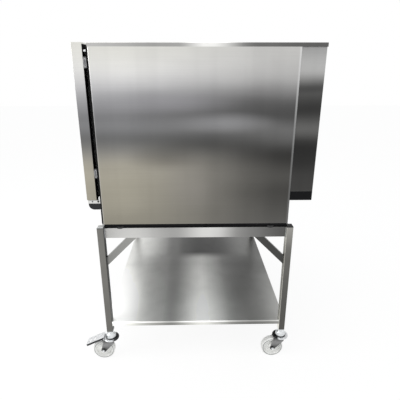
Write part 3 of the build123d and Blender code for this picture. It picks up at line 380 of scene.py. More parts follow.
# %% [markdown]
# The body is brushed stainless sheet. Brushed steel smears what it mirrors into soft level bands:
# pale near the top, a dark band at mid height and a warm glow low down. Those slow bands are painted
# reflections in the sheet's tone here, so the steel keeps its look under any light and from every side.
# %% Painted reflection bands of the body steel, by height
sheet_low, sheet_high = 0.76, 1.53
front_reflection_bands = [(0.0, 150), (0.24, 168), (0.37, 165), (0.49, 118), (0.58, 132), (0.66, 138), (0.77, 184),
               (0.87, 226), (1.0, 227)]
rear_reflection_bands = [(0.0, 94), (0.2, 74), (0.31, 82), (0.43, 62), (0.56, 112), (0.65, 80), (0.73, 118),
              (0.83, 180), (1.0, 204)]
housing_reflection_bands = [(0.16, 70), (0.3, 66), (0.39, 52), (0.5, 60), (0.575, 104), (0.66, 60), (0.74, 82),
                 (0.8, 100), (0.88, 184), (1.0, 158)]
warm_low_reflection = [(0.0, (1.0, 0.94, 0.77)), (0.36, (1.0, 0.94, 0.79)), (0.5, (0.98, 0.98, 0.97)),
            (0.72, (0.975, 0.97, 1.0)), (1.0, (1.0, 0.992, 0.93))]
print("tones for", len(front_reflection_bands) + len(rear_reflection_bands) + len(housing_reflection_bands), "places")

# %% Helper for the sheet's surface


def finish_sheet(steel, tone, lines_along=(12.0, 12.0, 1500.0), worn_and_highlit_edge=0.35):
    """Adds what every steel sheet has: clouds, streaks, brushing lines, edges made pale by painted
    highlights and wear, and haze.
    """
    tone = steel.shade(tone, steel.mask(tone_drift, Stretch=(2.2, 2.6, 9.0)), 0.94, 1.0)
    streaks = steel.mask(tone_drift, Stretch=(14.0, 14.0, 1.2), Low=0.4, High=0.7)
    tone = steel.shade(tone, streaks, 1.0, 0.95)
    lines = steel.effect(brush_lines, Stretch=lines_along)
    tone = steel.shade(tone, steel.between(lines.outputs["Tone"], 0.3, 0.7), 0.94, 1.0)
    # Pale edges: painted edge highlights on the sheet, with some wear.
    steel.colour(steel.lay(tone, steel.mask(edge_wear_and_highlight, Radius=0.0018), worn_and_highlit_edge, (0.8, 0.8, 0.79)))
    steel.rough(steel.mask(finger_marks, Size=7.0), 0.32, 0.42)
    steel.bump(lines.outputs["Height"], 0.1, 0.0003)
    return steel.material


def body_steel(name, front, rear, split_from, split_to, lift=1.0, warm=warm_low_reflection, hidden_side=None):
    """Brushed sheet whose painted reflection bands change slowly from the front of the oven to its rear."""
    steel = Finish(name, 0.94, 0.36)
    wander_height = 0.03
    wander = steel.mask(tone_drift, Stretch=(1.1, 1.9, 4.0), Low=0.2, High=0.8)
    height = steel.node("ShaderNodeMath", operation="MULTIPLY_ADD", inputs={1: wander_height})
    steel.join(wander, height.inputs[0])
    steel.join(steel.z, height.inputs[2])
    up = steel.between(height.outputs[0], sheet_low + wander_height / 2, sheet_high + wander_height / 2)
    back = steel.between(steel.y, split_from, split_to, smooth=True)
    if hidden_side:
        back = steel.mix(steel.between(steel.x, hidden_side, hidden_side - 0.01), back, (1.0, 1.0, 1.0))
    tone = steel.mix(back, steel.ramp(up, levels(front, lift)), steel.ramp(up, levels(rear, lift)))
    # The warm tint low down is a painted reflection too.
    tint = steel.lay(steel.ramp(up, warm), back, 0.7, (0.995, 0.985, 0.97))
    return steel, steel.times(tone, tint)


print("sheet helpers ready")

# %% [markdown]
# The near side panel has painted reflections of its own: pale and dark patches round the dark band
# and a warm glow low down, and painted highlights as a thin pale line along both upright hems. Each is
# a mask laid over the bands.
# %% Finish: side panel
steel_lift = 1.06
steel, tone = body_steel("side_steel", front_reflection_bands, rear_reflection_bands, -0.37, 0.42, steel_lift)


def panel_reflection_spot(y, z, reach_y, reach_z):
    """A soft spot of painted reflection on the near side panel."""
    return steel.soft_spot((0.535, y, z), (0.4, reach_y, reach_z))


# Painted reflections: two pale patches, two dark patches and a warm glow low down.
tone = steel.lay(tone, panel_reflection_spot(0.12, 1.222, 0.26, 0.055), 0.55, (0.36, 0.36, 0.37))
tone = steel.lay(tone, panel_reflection_spot(-0.1, 1.305, 0.34, 0.06), 0.45, (0.36, 0.355, 0.375))
tone = steel.shade(tone, panel_reflection_spot(0.02, 1.135, 0.34, 0.07), 1.0, 0.66)
tone = steel.shade(tone, panel_reflection_spot(-0.13, 1.075, 0.2, 0.075), 1.0, 0.7)
tone = steel.lay(tone, panel_reflection_spot(-0.02, 0.93, 0.17, 0.16), 0.3, (0.33, 0.31, 0.29))
# Painted highlights: thin pale lines along both upright hems, the rear one brighter upward.
rear_hem_highlight, front_hem_highlight = steel.between(steel.y, 0.4155, 0.4195), steel.between(steel.y, -0.4165, -0.4185)
hem_highlight_levels = levels([(0.0, 120), (0.35, 150), (0.6, 185), (1.0, 240)])
tone = steel.lay(tone, rear_hem_highlight, 0.55, steel.ramp(steel.between(steel.z, 0.8, 1.5), hem_highlight_levels))
tone = steel.lay(tone, front_hem_highlight, 0.3, (0.85, 0.85, 0.84))
dress(finish_sheet(steel, tone), "right_side_panel")
print("side panel done")

# %% Finish: rear housing, door and the other sheets
# The housing's warm tint low down is a painted reflection.
housing_warm_reflection = [(0.0, (1.0, 0.98, 0.94)), (1.0, (1.0, 1.0, 0.99))]
housing_steel = finish_sheet(*body_steel("housing_steel", housing_reflection_bands, front_reflection_bands, 0.5275, 0.5285,
                                         steel_lift, housing_warm_reflection, hidden_side=0.52))
door_steel = finish_sheet(*body_steel("door_steel", front_reflection_bands, rear_reflection_bands, 0.2, 0.5, steel_lift * 1.02))
far_steel = finish_sheet(*body_steel("far_steel", front_reflection_bands, rear_reflection_bands, -0.3, 0.9, steel_lift))
dress(housing_steel, "rear_housing")
dress(door_steel, "door_frame")
dress(far_steel, "left_side_panel", "rear_panel", "front_frame", "control_fascia")
print("body steel on 7 pieces")

# %% [markdown]
# Long rails, the folded rim and the shelf mirror the room along their length, so their painted
# reflection bands run from front to rear instead of up. The brushing lines follow each run, and each
# gets its own.
# %% Finish: runs of steel
run_from, run_to = -0.47, 0.53
along_depth, along_width = (1500.0, 10.0, 1500.0), (10.0, 1500.0, 1500.0)


def run_steel(name, tones, lines_along, rear_face=None):
    """Brushed steel whose painted reflection bands follow the oven's depth. Its rear face can have a tone of
    its own.
    """
    steel = Finish(name, 0.94, 0.34)
    tone = steel.ramp(steel.between(steel.y, run_from, run_to), levels(tones, steel_lift))
    tone = steel.times(tone, (1.0, 0.995, 0.97))
    if rear_face:
        tone = steel.mix(steel.between(steel.y, 0.5278, 0.5284), tone, rear_face)
    return finish_sheet(steel, tone, lines_along)


rim_reflection_bands = [(0.02, 200), (0.41, 172), (0.5, 246), (0.56, 240), (0.66, 144), (0.8, 112), (1.0, 98)]
rail_reflection_bands = [(0.02, 190), (0.185, 208), (0.37, 170), (0.54, 224), (0.66, 158), (0.84, 102), (1.0, 98)]
dress(run_steel("rim_steel", rim_reflection_bands, along_depth, (0.62, 0.62, 0.6)), "top_cover")
dress(run_steel("rail_steel", rail_reflection_bands, along_depth), "side_rails")
dress(run_steel("gutter_steel", [(0.0, 222), (1.0, 226)], along_width), "drip_gutter")
print("rim, rails and gutter done")

# %% [markdown]
# The shelf is a wide flat sheet under the oven. Near the camera it mirrors the bright room in
# stripes, and far back it mirrors the dark underside, so two sets of painted reflection stripes blend
# over its width. The near stripes are painted brighter towards the open edge, and the lip gets a
# painted highlight along its top and painted shade below it.
# %% Finish: shelf
near_shelf_reflection = [(0.0, 250), (0.06, 236), (0.17, 178), (0.3, 122), (0.38, 124), (0.49, 188), (0.55, 176),
              (0.65, 118), (0.8, 96), (0.93, 128)]
far_shelf_reflection = [(0.0, 240), (0.1, 228), (0.27, 140), (0.36, 96), (0.45, 58), (0.55, 50), (0.68, 76),
             (0.8, 120), (0.9, 112)]
shelf = Finish("shelf_steel", 0.62, 0.34)
along = shelf.between(shelf.y, run_from, run_to)
near_tone = shelf.ramp(along, levels(near_shelf_reflection))
# Painted light: towards the open edge the near stripes grow up to 2.3 times brighter.
brighter_towards_edge = shelf.between(shelf.x, -0.05, 0.4)
near_tone = shelf.mix(brighter_towards_edge, near_tone, shelf.times(near_tone, (2.3, 2.3, 2.3)))
# Farther under the oven the painted reflection of the dark underside takes over.
away = shelf.between(shelf.x, -0.12, -0.23, smooth=True)
tone = shelf.mix(away, near_tone, shelf.ramp(along, levels(far_shelf_reflection)))
shelf_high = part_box("shelf")[1]
# The lip's face: a painted highlight along its top and painted shade below.
on_lip = shelf.between(shelf.x, shelf_high.x - 0.0012, shelf_high.x - 0.0006)
lip_up = shelf.between(shelf.z, shelf_high.z - 0.009, shelf_high.z - 0.006)
shaded_lower_lip, highlit_upper_lip = (shelf.times(near_tone, tint) for tint in ((0.8, 0.8, 0.78), (1.9, 1.9, 1.9)))
tone = shelf.mix(on_lip, tone, shelf.mix(lip_up, shaded_lower_lip, highlit_upper_lip))
tone = shelf.times(tone, (1.0, 1.0, 0.965))
dress(finish_sheet(shelf, tone, (8.0, 1500.0, 1500.0)), "shelf")
print("shelf done")

# %% Finish: braces, cross rails and chamber


def plain_steel(name, low, high):
    """Brushed steel with one tone that only drifts."""
    steel = Finish(name, 0.9, 0.34)
    tone = steel.ramp(steel.mottle(3.0), levels([(0.0, low), (1.0, high)]))
    return finish_sheet(steel, steel.times(tone, (1.0, 1.0, 0.98)), along_width)


brace = Finish("brace_steel", 0.9, 0.34)
# The braces' tone runs from front to rear in painted reflection bands, darker towards the rear.
brace_reflection_bands = levels([(0.0, 142), (0.25, 158), (0.7, 96), (0.9, 74)])
tone = brace.times(brace.ramp(brace.between(brace.y, run_from, run_to), brace_reflection_bands), (1.0, 1.0, 0.96))
dress(finish_sheet(brace, tone, (1200.0, 300.0, 300.0)), "corner_braces")
dress(plain_steel("cross_steel", 150, 190), "cross_rails")
dress(plain_steel("chamber_steel", 165, 205), "chamber_shell", "rack_left", "rack_right", "air_baffle",
      "fan_wheel", "floor_strainer", "steam_nozzle", "exhaust_stub", "drain_pipe")
print("braces, cross rails and chamber done")

# %% [markdown]
# The legs are square tube. The front pair's painted reflection is a mid olive grey and the rear
# pair's is darker low down, as each mirrors another part of the room. The front legs' rear faces
# get painted black shade, and the rear legs' front faces are painted pale as painted light.
# %% Finish: legs
legs = Finish("leg_steel", 0.9, 0.36)
leg_low, leg_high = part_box("stand_legs")
tube_wide = 0.030


def leg_face(y, way, half_from, half_to):
    """A mask on the legs' faces at one depth, kept to the front or the rear half of the stand."""
    node = legs.node("ShaderNodeMath", operation="MULTIPLY")
    legs.join(legs.between(legs.y, y - way * 0.0012, y - way * 0.0006), node.inputs[0])
    legs.join(legs.between(legs.y, half_from, half_to), node.inputs[1])
    return node.outputs[0]


up = legs.between(legs.z, 0.2, 0.74)
front_leg_reflection = legs.ramp(up, levels([(0.0, 118), (0.5, 126), (1.0, 130)]))
rear_leg_reflection = legs.ramp(up, levels([(0.0, 92), (0.5, 104), (0.8, 120), (1.0, 165)]))
tone = legs.mix(legs.between(legs.y, -0.1, 0.1), front_leg_reflection, rear_leg_reflection)
# Painted shade: the front legs' rear faces are near black.
tone = legs.mix(leg_face(leg_low.y + tube_wide, 1, 0.05, 0.0), tone, (0.012, 0.012, 0.011))
# Painted light: the rear legs' front faces are pale.
tone = legs.mix(leg_face(leg_high.y - tube_wide, -1, 0.0, 0.05), tone, (0.97, 0.97, 0.95))
tone = legs.times(tone, (1.0, 0.98, 0.91))
dress(finish_sheet(legs, tone, (1500.0, 1500.0, 10.0), 0.2), "stand_legs")
print("legs stand", round((leg_high.z - leg_low.z) * 1000), "mm tall")

# %% [markdown]
# Castors are stamped and zinc plated, which leaves a fine bluish mottle instead of brush lines.
# The forks are seen against the dark, so their legs are painted as dark metal with a painted highlight
# band, below a round crown with a painted bright top and painted shade on its inner side.
# %% Finish: zinc plate and cast metal


def plated(name, low, high, roughness, worn_and_highlit_edge=(0.85, 0.85, 0.85)):
    zinc = Finish(name, 0.92, roughness)
    mottle = zinc.mottle(90.0)
    tone = zinc.ramp(mottle, [(0.0, low), (1.0, high)])
    zinc.colour(zinc.mix(zinc.mask(edge_wear_and_highlight, Radius=0.0012), tone, worn_and_highlit_edge))
    zinc.rough(zinc.mask(finger_marks, Size=40.0), roughness, roughness + 0.15)
    zinc.bump(mottle, 0.1, 0.0003)
    return zinc.material


zinc_bright = plated("zinc_bright", (0.66, 0.68, 0.69), (0.82, 0.84, 0.85), 0.24)
zinc_plate = plated("zinc_plate", (0.42, 0.44, 0.46), (0.58, 0.6, 0.62), 0.28)
zinc_dark = plated("zinc_dark", (0.1, 0.105, 0.11), (0.17, 0.175, 0.18), 0.34, (0.4, 0.4, 0.4))
cast_alloy = plated("cast_alloy", (0.35, 0.35, 0.36), (0.46, 0.46, 0.47), 0.5)
brass = plated("brass", (0.5, 0.36, 0.14), (0.62, 0.46, 0.2), 0.35, (0.8, 0.66, 0.38))
dress(zinc_bright, "castor_stems", "floor_pan")
dress(zinc_plate, "latch_stud", "latch_cam", "handle_rose")
dress(zinc_dark, "body_hinge_leaves", "door_hinge_leaves", "hinge_pins", "heating_coil")
dress(cast_alloy, "fan_motor")
dress(brass, "water_inlets")
print("plated pieces ready")

# %% Finish: castor forks and brake pedals
fork = Finish("fork_zinc", 0.9, 0.3)
mottle = fork.mottle(60.0)
crown_height = 0.1195
# Painted light and shade on the crown: its top is pale and its inner side painted black.
above = fork.between(fork.z, crown_height - 0.002, crown_height)
dark_front, dark_rear = (fork.between(fork.y, side * 0.428, side * 0.418) for side in (-1, 1))
shaded = fork.mix(fork.between(fork.y, 0.0, 0.01), dark_front, dark_rear)
# The fork legs get a painted highlight band at mid height.
fork_leg_light_bands = levels([(0.0, 70), (0.25, 96), (0.6, 150), (0.85, 110), (1.0, 70)])
leg_tone = fork.ramp(fork.between(fork.z, 0.045, 0.12), fork_leg_light_bands)
tone = fork.mix(above, leg_tone, fork.mix(shaded, (0.72, 0.73, 0.74), (0.03, 0.03, 0.032)))
tone = fork.shade(tone, mottle, 0.82, 1.0)
fork.colour(fork.lay(tone, fork.mask(edge_wear_and_highlight, Radius=0.0012), 0.5, (0.7, 0.7, 0.7)))
fork.rough(mottle, 0.28, 0.4)
fork.bump(mottle, 0.1, 0.0003)
dress(fork.material, *starting("castor_fork"))
pedal = Finish("pedal_zinc", 0.85, 0.3)
mottle = pedal.mottle(60.0)
pedal_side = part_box("brake_pedal_front_right")[1].x
# Painted shade: the pedal's side flank is near black under its pale top.
shaded_flank = pedal.between(pedal.x, pedal_side - 0.0012, pedal_side - 0.0006)
tone = pedal.mix(shaded_flank, (0.8, 0.81, 0.82), (0.05, 0.05, 0.052))
pedal.colour(pedal.shade(tone, mottle, 0.8, 1.0))
pedal.rough(mottle, 0.24, 0.36)
pedal.bump(mottle, 0.1, 0.0003)
dress(pedal.material, *starting("brake_pedal"))
print("forks and pedals ready")

# %% [markdown]
# Plastics, paint and rubber don't mirror like metal. They need a base colour, some unevenness in
# their gloss, a fine moulded texture and paler worn corners.
# %% Finish: plastic, paint and rubber


def coated(name, colour, worn_colour, roughness, texture, depth, gloss=0.5):
    coat = Finish(name, 0.0, roughness)
    coat.shader.inputs["Specular IOR Level"].default_value = gloss
    tone = coat.mix(coat.mottle(25.0), tuple(0.88 * c for c in colour), colour)
    coat.colour(coat.mix(coat.mask(edge_wear_and_highlight, Radius=0.0015), tone, worn_colour))
    coat.rough(coat.mask(finger_marks, Size=22.0), roughness, min(1.0, roughness + 0.2))
    pores = coat.node("ShaderNodeTexNoise", inputs={"Scale": texture, "Detail": 2.0})
    coat.join(coat.place, pores.inputs["Vector"])
    coat.bump(pores.outputs["Fac"], 0.15, depth)
    return coat.material


black_plastic = coated("black_plastic", (0.012, 0.012, 0.013), (0.05, 0.05, 0.05), 0.42, 1400.0, 0.0002)
black_paint = coated("black_paint", (0.005, 0.005, 0.006), (0.02, 0.02, 0.02), 0.55, 900.0, 0.0002, 0.12)
black_enamel = coated("black_enamel", (0.003, 0.003, 0.003), (0.006, 0.006, 0.006), 0.6, 700.0, 0.0001, 0.03)
tray_grey = coated("tray_grey", (0.027, 0.027, 0.03), (0.05, 0.05, 0.05), 0.5, 800.0, 0.0002, 0.2)
black_trim_and_gap_shade = coated("black_trim_and_gap_shade", (0.01, 0.01, 0.01), (0.02, 0.02, 0.02), 0.6, 800.0, 0.0002, 0.1)
edge_grey = coated("edge_grey", (0.035, 0.036, 0.037), (0.06, 0.06, 0.06), 0.5, 700.0, 0.0001, 0.1)
nylon = coated("nylon", (0.95, 0.95, 0.925), (0.97, 0.97, 0.96), 0.35, 500.0, 0.0002)
ring_grey = coated("ring_grey", (0.16, 0.165, 0.165), (0.3, 0.3, 0.3), 0.45, 500.0, 0.0002)
seal_rubber = coated("seal_rubber", (0.018, 0.018, 0.018), (0.04, 0.04, 0.04), 0.7, 600.0, 0.0003)
wool = coated("wool", (0.55, 0.5, 0.36), (0.6, 0.56, 0.42), 0.95, 300.0, 0.002)
dress(black_plastic, "oven_feet", "selector_knob", "power_button", "handle_lever", "cable_gland")
# The base frame's black is its paint and also painted shade for the recess under the oven.
dress(black_paint, "base_frame", "rear_skirt")
dress(tray_grey, "drip_tray")
# The edge trim is black, and its black also stands in as painted shade for the dark gap at the door's hinge
# side.
dress(black_trim_and_gap_shade, "edge_trim")
dress(seal_rubber, "door_gasket")
dress(wool, "insulation")
dress(nylon, *starting("castor_wheel"))
print("plastic, paint and rubber ready")

# %% [markdown]
# The caps in the tops of the legs are grey plastic. Their flat top is painted nearly white as painted
# light, and the band under its edge is painted darker as shade, so the tone changes with height.
# The rear caps are black.
# %% Finish: leg caps
cap = Finish("cap_grey", 0.0, 0.4)
cap_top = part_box("leg_caps")[1].z
# Painted light on the flat top and painted shade on the band under it.
lit_cap_top = cap.between(cap.z, cap_top - 0.0022, cap_top - 0.0008)
tone = cap.mix(lit_cap_top, (0.06, 0.06, 0.062), (0.62, 0.63, 0.62))
tone = cap.mix(cap.between(cap.y, -0.1, 0.1), tone, (0.008, 0.008, 0.008))
mottle = cap.mottle(40.0)
cap.colour(cap.shade(tone, mottle, 0.85, 1.0))
cap.rough(mottle, 0.35, 0.5)
cap.bump(mottle, 0.1, 0.0002)
dress(cap.material, "leg_caps")
print("caps end at", round(cap_top, 4))

# %% [markdown]
# The door's panes are smoked glass: it lets a little light through and mirrors the room.
# Glass keeps plain numbers on its shader, and only its haze and colour vary.
# %% Finish: glass


def pane(name, colour, transmission, roughness):
    glass = Finish(name, 0.0, roughness)
    glass.shader.inputs["Transmission Weight"].default_value = transmission
    glass.shader.inputs["IOR"].default_value = 1.5
    glass.rough(glass.mask(finger_marks, Size=6.0), roughness, roughness + 0.06)
    glass.colour(glass.mix(glass.mottle(3.0), tuple(0.9 * c for c in colour), colour))
    return glass.material


dress(pane("smoked_glass", (0.3, 0.305, 0.32), 0.9, 0.03), "outer_glass")
dress(pane("clear_glass", (0.75, 0.77, 0.76), 0.92, 0.03), "inner_glass")
dress(pane("screen_glass", (0.006, 0.006, 0.008), 0.0, 0.06), "display_pane")
dress(pane("lamp_glass", (0.9, 0.88, 0.8), 0.85, 0.12), "chamber_lamp")
print("glass ready")

# %% Finish: display light and print


def ink(name, colour, glow_strength):
    """A printed or lit mark: its colour varies a little so it doesn't look cut from paper."""
    mark = Finish(name, 0.0, 0.45)
    tone = mark.mix(mark.mottle(70.0), tuple(0.85 * c for c in colour), colour)
    mark.colour(tone)
    mark.join(tone, mark.shader.inputs["Emission Color"])
    mark.shader.inputs["Emission Strength"].default_value = glow_strength
    return mark.material


display_light = ink("display_light", (0.62, 0.82, 1.0), 1.6)
amber_light = ink("amber_light", (1.0, 0.5, 0.12), 1.4)
print_black = ink("print_black", (0.02, 0.02, 0.02), 0.0)
print_white = ink("print_white", (0.75, 0.75, 0.75), 0.0)
print("inks ready")

# %% [markdown]
# The drawing leaves out trims, screws, seals and printed marks. They are small, but they are what
# makes sheet metal look like a machine. A Maker collects such shapes in one mesh: each shape is
# written flat, in its own X and Y with Z outwards, and a matrix puts it on the surface it sits on.
# %% Helper: a maker of small shapes
print_thick = 0.0001


def facing(place, outward):
    """The matrix of a surface at a place: its Z points outwards and its Y as far up as it can."""
    outward = Vector(outward).normalized()
    up = Vector((0, 1, 0)) if abs(outward.z) > 0.9 else Vector((0, 0, 1))
    right = up.cross(outward).normalized()
    up = outward.cross(right)
    return Matrix.Translation(place) @ Matrix((right, up, outward)).transposed().to_4x4()


class Maker:
    """Collects small shapes in one mesh and hands it over as a piece."""

    def __init__(self):
        self.mesh = bmesh.new()

    def ring(self, points, place):
        return [self.mesh.verts.new(place @ Vector(point)) for point in points]

    def bridge(self, first, second):
        """Faces between two rings; a ring of one point closes to a fan."""
        count = max(len(first), len(second))
        for step in range(count):
            after = (step + 1) % count
            corners = (first[step % len(first)], first[after % len(first)],
                       second[after % len(second)], second[step % len(second)])
            face = list(dict.fromkeys(corners))
            if len(face) > 2:
                self.mesh.faces.new(face)

    def turned(self, profile, place, steps=24, lobed=()):
        """A shape turned on a lathe, from (radius, height) pairs. Lobed rings dip at every other step."""
        rings = []
        for number, (radius, height) in enumerate(profile):
            points = []
            for step in range(steps if radius else 1):
                turn = 2 * math.pi * step / steps
                reach = radius * (0.7 if number in lobed and step % 2 else 1.0)
                points.append((reach * math.cos(turn), reach * math.sin(turn), height))
            rings.append(self.ring(points, place))
        for first, second in zip(rings, rings[1:]):
            self.bridge(first, second)

    def plate(self, outline, low, high, place):
        """A flat shape of any outline, from one height to another."""
        under = self.ring([(x, y, low) for x, y in outline], place)
        over = self.ring([(x, y, high) for x, y in outline], place)
        self.bridge(under, over)
        self.mesh.faces.new(under)
        self.mesh.faces.new(over)

    def mark(self, outline, place, thick=print_thick):
        """A printed mark, which is a plate no thicker than paint."""
        self.plate(outline, 0.0, thick, place)

    def hoop(self, outer, inner, middle, steps, place):
        """A printed ring between two radii."""
        self.window(circle(outer, steps, middle), circle(inner, steps, middle), 0.0, print_thick, place)

    def window(self, outer, inner, low, high, place):
        """A flat frame between two outlines with the same number of points."""
        rings = [self.ring([(x, y, height) for x, y in outline], place)
                 for outline, height in ((outer, low), (outer, high), (inner, high), (inner, low))]
        for first, second in zip(rings, rings[1:] + rings[:1]):
            self.bridge(first, second)

    def piece(self, name, material, body, smooth=False):
        bmesh.ops.recalc_face_normals(self.mesh, faces=self.mesh.faces)
        mesh = bpy.data.meshes.new(name)
        self.mesh.to_mesh(mesh)
        self.mesh.free()
        if smooth:
            for polygon in mesh.polygons:
                polygon.use_smooth = True
            mesh.set_sharp_from_angle(angle=math.radians(35))
        mesh.materials.append(material)
        made = new_object(name, mesh)
        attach(made, body)


# %% Helper: outlines


def rounded(low, high, radius, steps=5):
    """A rectangle with round corners, as a list of points."""
    corners = [(high[0] - radius, high[1] - radius, 0), (low[0] + radius, high[1] - radius, 90),
               (low[0] + radius, low[1] + radius, 180), (high[0] - radius, low[1] + radius, 270)]
    points = []
    for x, y, begin in corners:
        for step in range(steps):
            turn = math.radians(begin + 90 * step / (steps - 1))
            points.append((x + radius * math.cos(turn), y + radius * math.sin(turn)))
    return points


def circle(radius, steps, middle):
    turns = [2 * math.pi * step / steps for step in range(steps)]
    return [(middle[0] + radius * math.cos(turn), middle[1] + radius * math.sin(turn)) for turn in turns]


def rectangle(x_from, y_from, x_to, y_to):
    return [(x_from, y_from), (x_to, y_from), (x_to, y_to), (x_from, y_to)]


def inset(box, left, below, right, above, radius):
    """A rounded outline inside a box seen along Y, so far in from each of its four sides."""
    low, high = box
    return rounded((low.x + left, low.z + below), (high.x - right, high.z - above), radius)


fixed = "oven_and_stand"
front_way, rear_way, right_way, left_way, up_way = (0, -1, 0), (0, 1, 0), (1, 0, 0), (-1, 0, 0), (0, 0, 1)
print("maker ready")

# %% [markdown]
# Seen in the gap, the back of the door is black. On the real door that is the printed border of
# the inner pane and a black liner round it. Both are thin frames laid on the door's back face.
# %% Door liner and printed borders
door_box, pane_box, cover_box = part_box("door_frame"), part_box("inner_glass"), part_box("outer_glass")
on_back = Matrix(((1, 0, 0, 0), (0, 0, 1, 0), (0, 1, 0, 0), (0, 0, 0, 1)))
pane_rim = inset(pane_box, 0.001, 0.001, 0.001, 0.001, 0.003)
bare_edge = inset(pane_box, 0.009, 0.009, 0.009, 0.009, 0.003)
pane_view = inset(pane_box, 0.062, 0.066, 0.105, 0.087, 0.02)
door_rim = inset(door_box, 0.004, 0.0012, 0.0012, 0.006, 0.004)
cover_rim = inset(cover_box, 0.001, 0.001, 0.001, 0.001, 0.003)
cover_view = inset(cover_box, 0.058, 0.05, 0.05, 0.05, 0.018)
for name, outer, inner, box, thick, material, slot in (
        ("door_liner", door_rim, pane_rim, door_box, 0.0006, black_enamel, "black_paint"),
        ("inner_pane_border", bare_edge, pane_view, pane_box, 0.00012, black_enamel, "black_glass"),
        ("pane_edge", pane_rim, bare_edge, pane_box, 0.0001, edge_grey, "black_glass"),
        ("outer_pane_border", cover_rim, cover_view, cover_box, 0.00015, black_enamel, "black_glass")):
    back = box[1].y
    maker = Maker()
    maker.window(outer, inner, back, back + thick, on_back)
    maker.piece(name, material, "door")
print("door gap trims done")

# %% [markdown]
# The gap also shows a pale stop plate near the top, where the shut door meets the body, and a
# bright curved drip lip low down that guides water from the door into the gutter.
# %% Stop plate and drip lip
front_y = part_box("front_frame")[0].y
gutter_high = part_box("drip_gutter")[1]
gap_from, gap_to, stop_deep, lip_long = 0.501, 0.526, 0.0115, 0.028
maker = Maker()
maker.plate(rounded((gap_from, 1.4985), (gap_to, 1.5065), 0.0025), 0.0, stop_deep,
            facing((0, front_y, 0), front_way))
maker.piece("stop_plate", zinc_bright, fixed)
lip_profile = [(0.0, 0.0), (0.0045, 0.0), (0.0058, 0.0035), (0.0066, 0.008), (0.0064, 0.0125),
               (0.0048, 0.0165), (0.0022, 0.0185), (0.0, 0.0185)]
sideways = Matrix.Translation((gap_from, front_y, gutter_high.z)) @ Matrix(
    ((0, 0, 1, 0), (-1, 0, 0, 0), (0, 1, 0, 0), (0, 0, 0, 1)))
maker = Maker()
maker.plate(lip_profile, 0.0, lip_long, sideways)
maker.piece("drip_lip", nylon, fixed)
print("gap fittings done")

# %% [markdown]
# The oven rests on its stand with a black strip along each side rail, which closes the slot
# under the base frame. The strip is a dark sheet put in as painted shade: the black line between
# the panel and the rail.
# %% Shade strips
base_low, base_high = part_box("base_frame")
side_low, side_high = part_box("right_side_panel")
rail_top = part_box("side_rails")[1].z
strip_from, upright = 0.5035, Matrix()
strip_front, strip_rear = side_low.y + 0.001, side_high.y - 0.002
maker = Maker()
for side in (1, -1):
    for strip_to, y_from, y_to, top in (
            (0.5125, strip_front, strip_rear, base_low.z - 0.0001),
            (0.5205, strip_front, base_low.y - 0.0002, side_low.z - 0.0004),
            (0.5195, base_high.y + 0.0002, strip_rear, side_low.z - 0.0004)):
        maker.plate(rectangle(side * strip_from, y_from, side * strip_to, y_to),
                    rail_top + 0.0001, top, upright)
# Painted shade: black strips closing the slot under the base frame.
maker.piece("shade_strips", black_paint, fixed)
print("rest strips done")

# %% [markdown]
# Each hinge leaf shows a long slotted eye towards the side, paler than the leaf round it.
# %% Hinge eyes
leaf_low, leaf_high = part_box("body_hinge_leaves")
eye = rounded((-0.0052, -0.017), (0.0052, 0.017), 0.005)
slit = rounded((-0.0032, -0.014), (0.0032, 0.014), 0.003)
maker = Maker()
for z in (leaf_high.z - 0.02, leaf_low.z + 0.02):
    spot = facing((leaf_high.x, (leaf_low.y + leaf_high.y) / 2, z), right_way)
    maker.window(eye, slit, 0.0, print_thick, spot)
maker.piece("hinge_eyes", cast_alloy, fixed)
print("hinge eyes done")

# %% [markdown]
# Screws are turned shapes: a low dome with a six-lobed recess. The recess is cut by two rings
# whose points step in and out, which costs no more faces than a round hole.
# %% Screws


def screw(maker, place, outward, head=0.0045, height=0.0022):
    profile = [(head, 0.0), (head, 0.3 * height), (0.82 * head, 0.8 * height), (0.52 * head, height),
               (0.46 * head, height), (0.4 * head, 0.3 * height), (0, 0.3 * height)]
    maker.turned(profile, facing(place, outward), steps=12, lobed=(4, 5))


housing_low, housing_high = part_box("rear_housing")
panel_low, panel_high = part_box("rear_panel")
left_low, left_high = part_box("left_side_panel")
top_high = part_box("top_cover")[1]
maker = Maker()
for x in (-0.49, -0.245, 0.0, 0.245, 0.49):
    screw(maker, (x, housing_high.y, housing_low.z + 0.016), rear_way)
    screw(maker, (x, housing_high.y, housing_high.z - 0.02), rear_way)
    screw(maker, (x, panel_high.y, panel_low.z + 0.012), rear_way)
    screw(maker, (x, top_high.y - 0.03, top_high.z), up_way)
for x in (-0.49, 0.49):
    for z in (1.06, 1.2, 1.34):
        screw(maker, (x, housing_high.y, z), rear_way)
for y in (-0.39, 0.0, 0.395):
    for z in (left_low.z + 0.022, left_high.z - 0.022):
        screw(maker, (left_low.x, y, z), left_way)
maker.piece("panel_screws", zinc_plate, fixed, smooth=True)
baffle_low, baffle_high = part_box("air_baffle")
maker = Maker()
for x in (baffle_low.x + 0.018, baffle_high.x - 0.018):
    for z in (baffle_low.z + 0.02, (baffle_low.z + baffle_high.z) / 2, baffle_high.z - 0.02):
        screw(maker, (x, baffle_low.y, z), front_way, 0.006, 0.003)
maker.piece("baffle_screws", zinc_plate, fixed, smooth=True)
print("screws done")

# %% Gutter end: one screw and one plug
end_z, screw_y, plug_y = 0.873, -0.4624, -0.4363
maker = Maker()
screw(maker, (gutter_high.x, screw_y, end_z), right_way, 0.0035, 0.0014)
maker.piece("gutter_screw", zinc_dark, fixed, smooth=True)
maker = Maker()
maker.turned([(0.0045, 0.0), (0.0045, 0.0008), (0.0034, 0.0014), (0, 0.0016)],
             facing((gutter_high.x, plug_y, end_z), right_way), steps=16)
maker.piece("gutter_plug", black_plastic, fixed, smooth=True)
print("gutter end done")

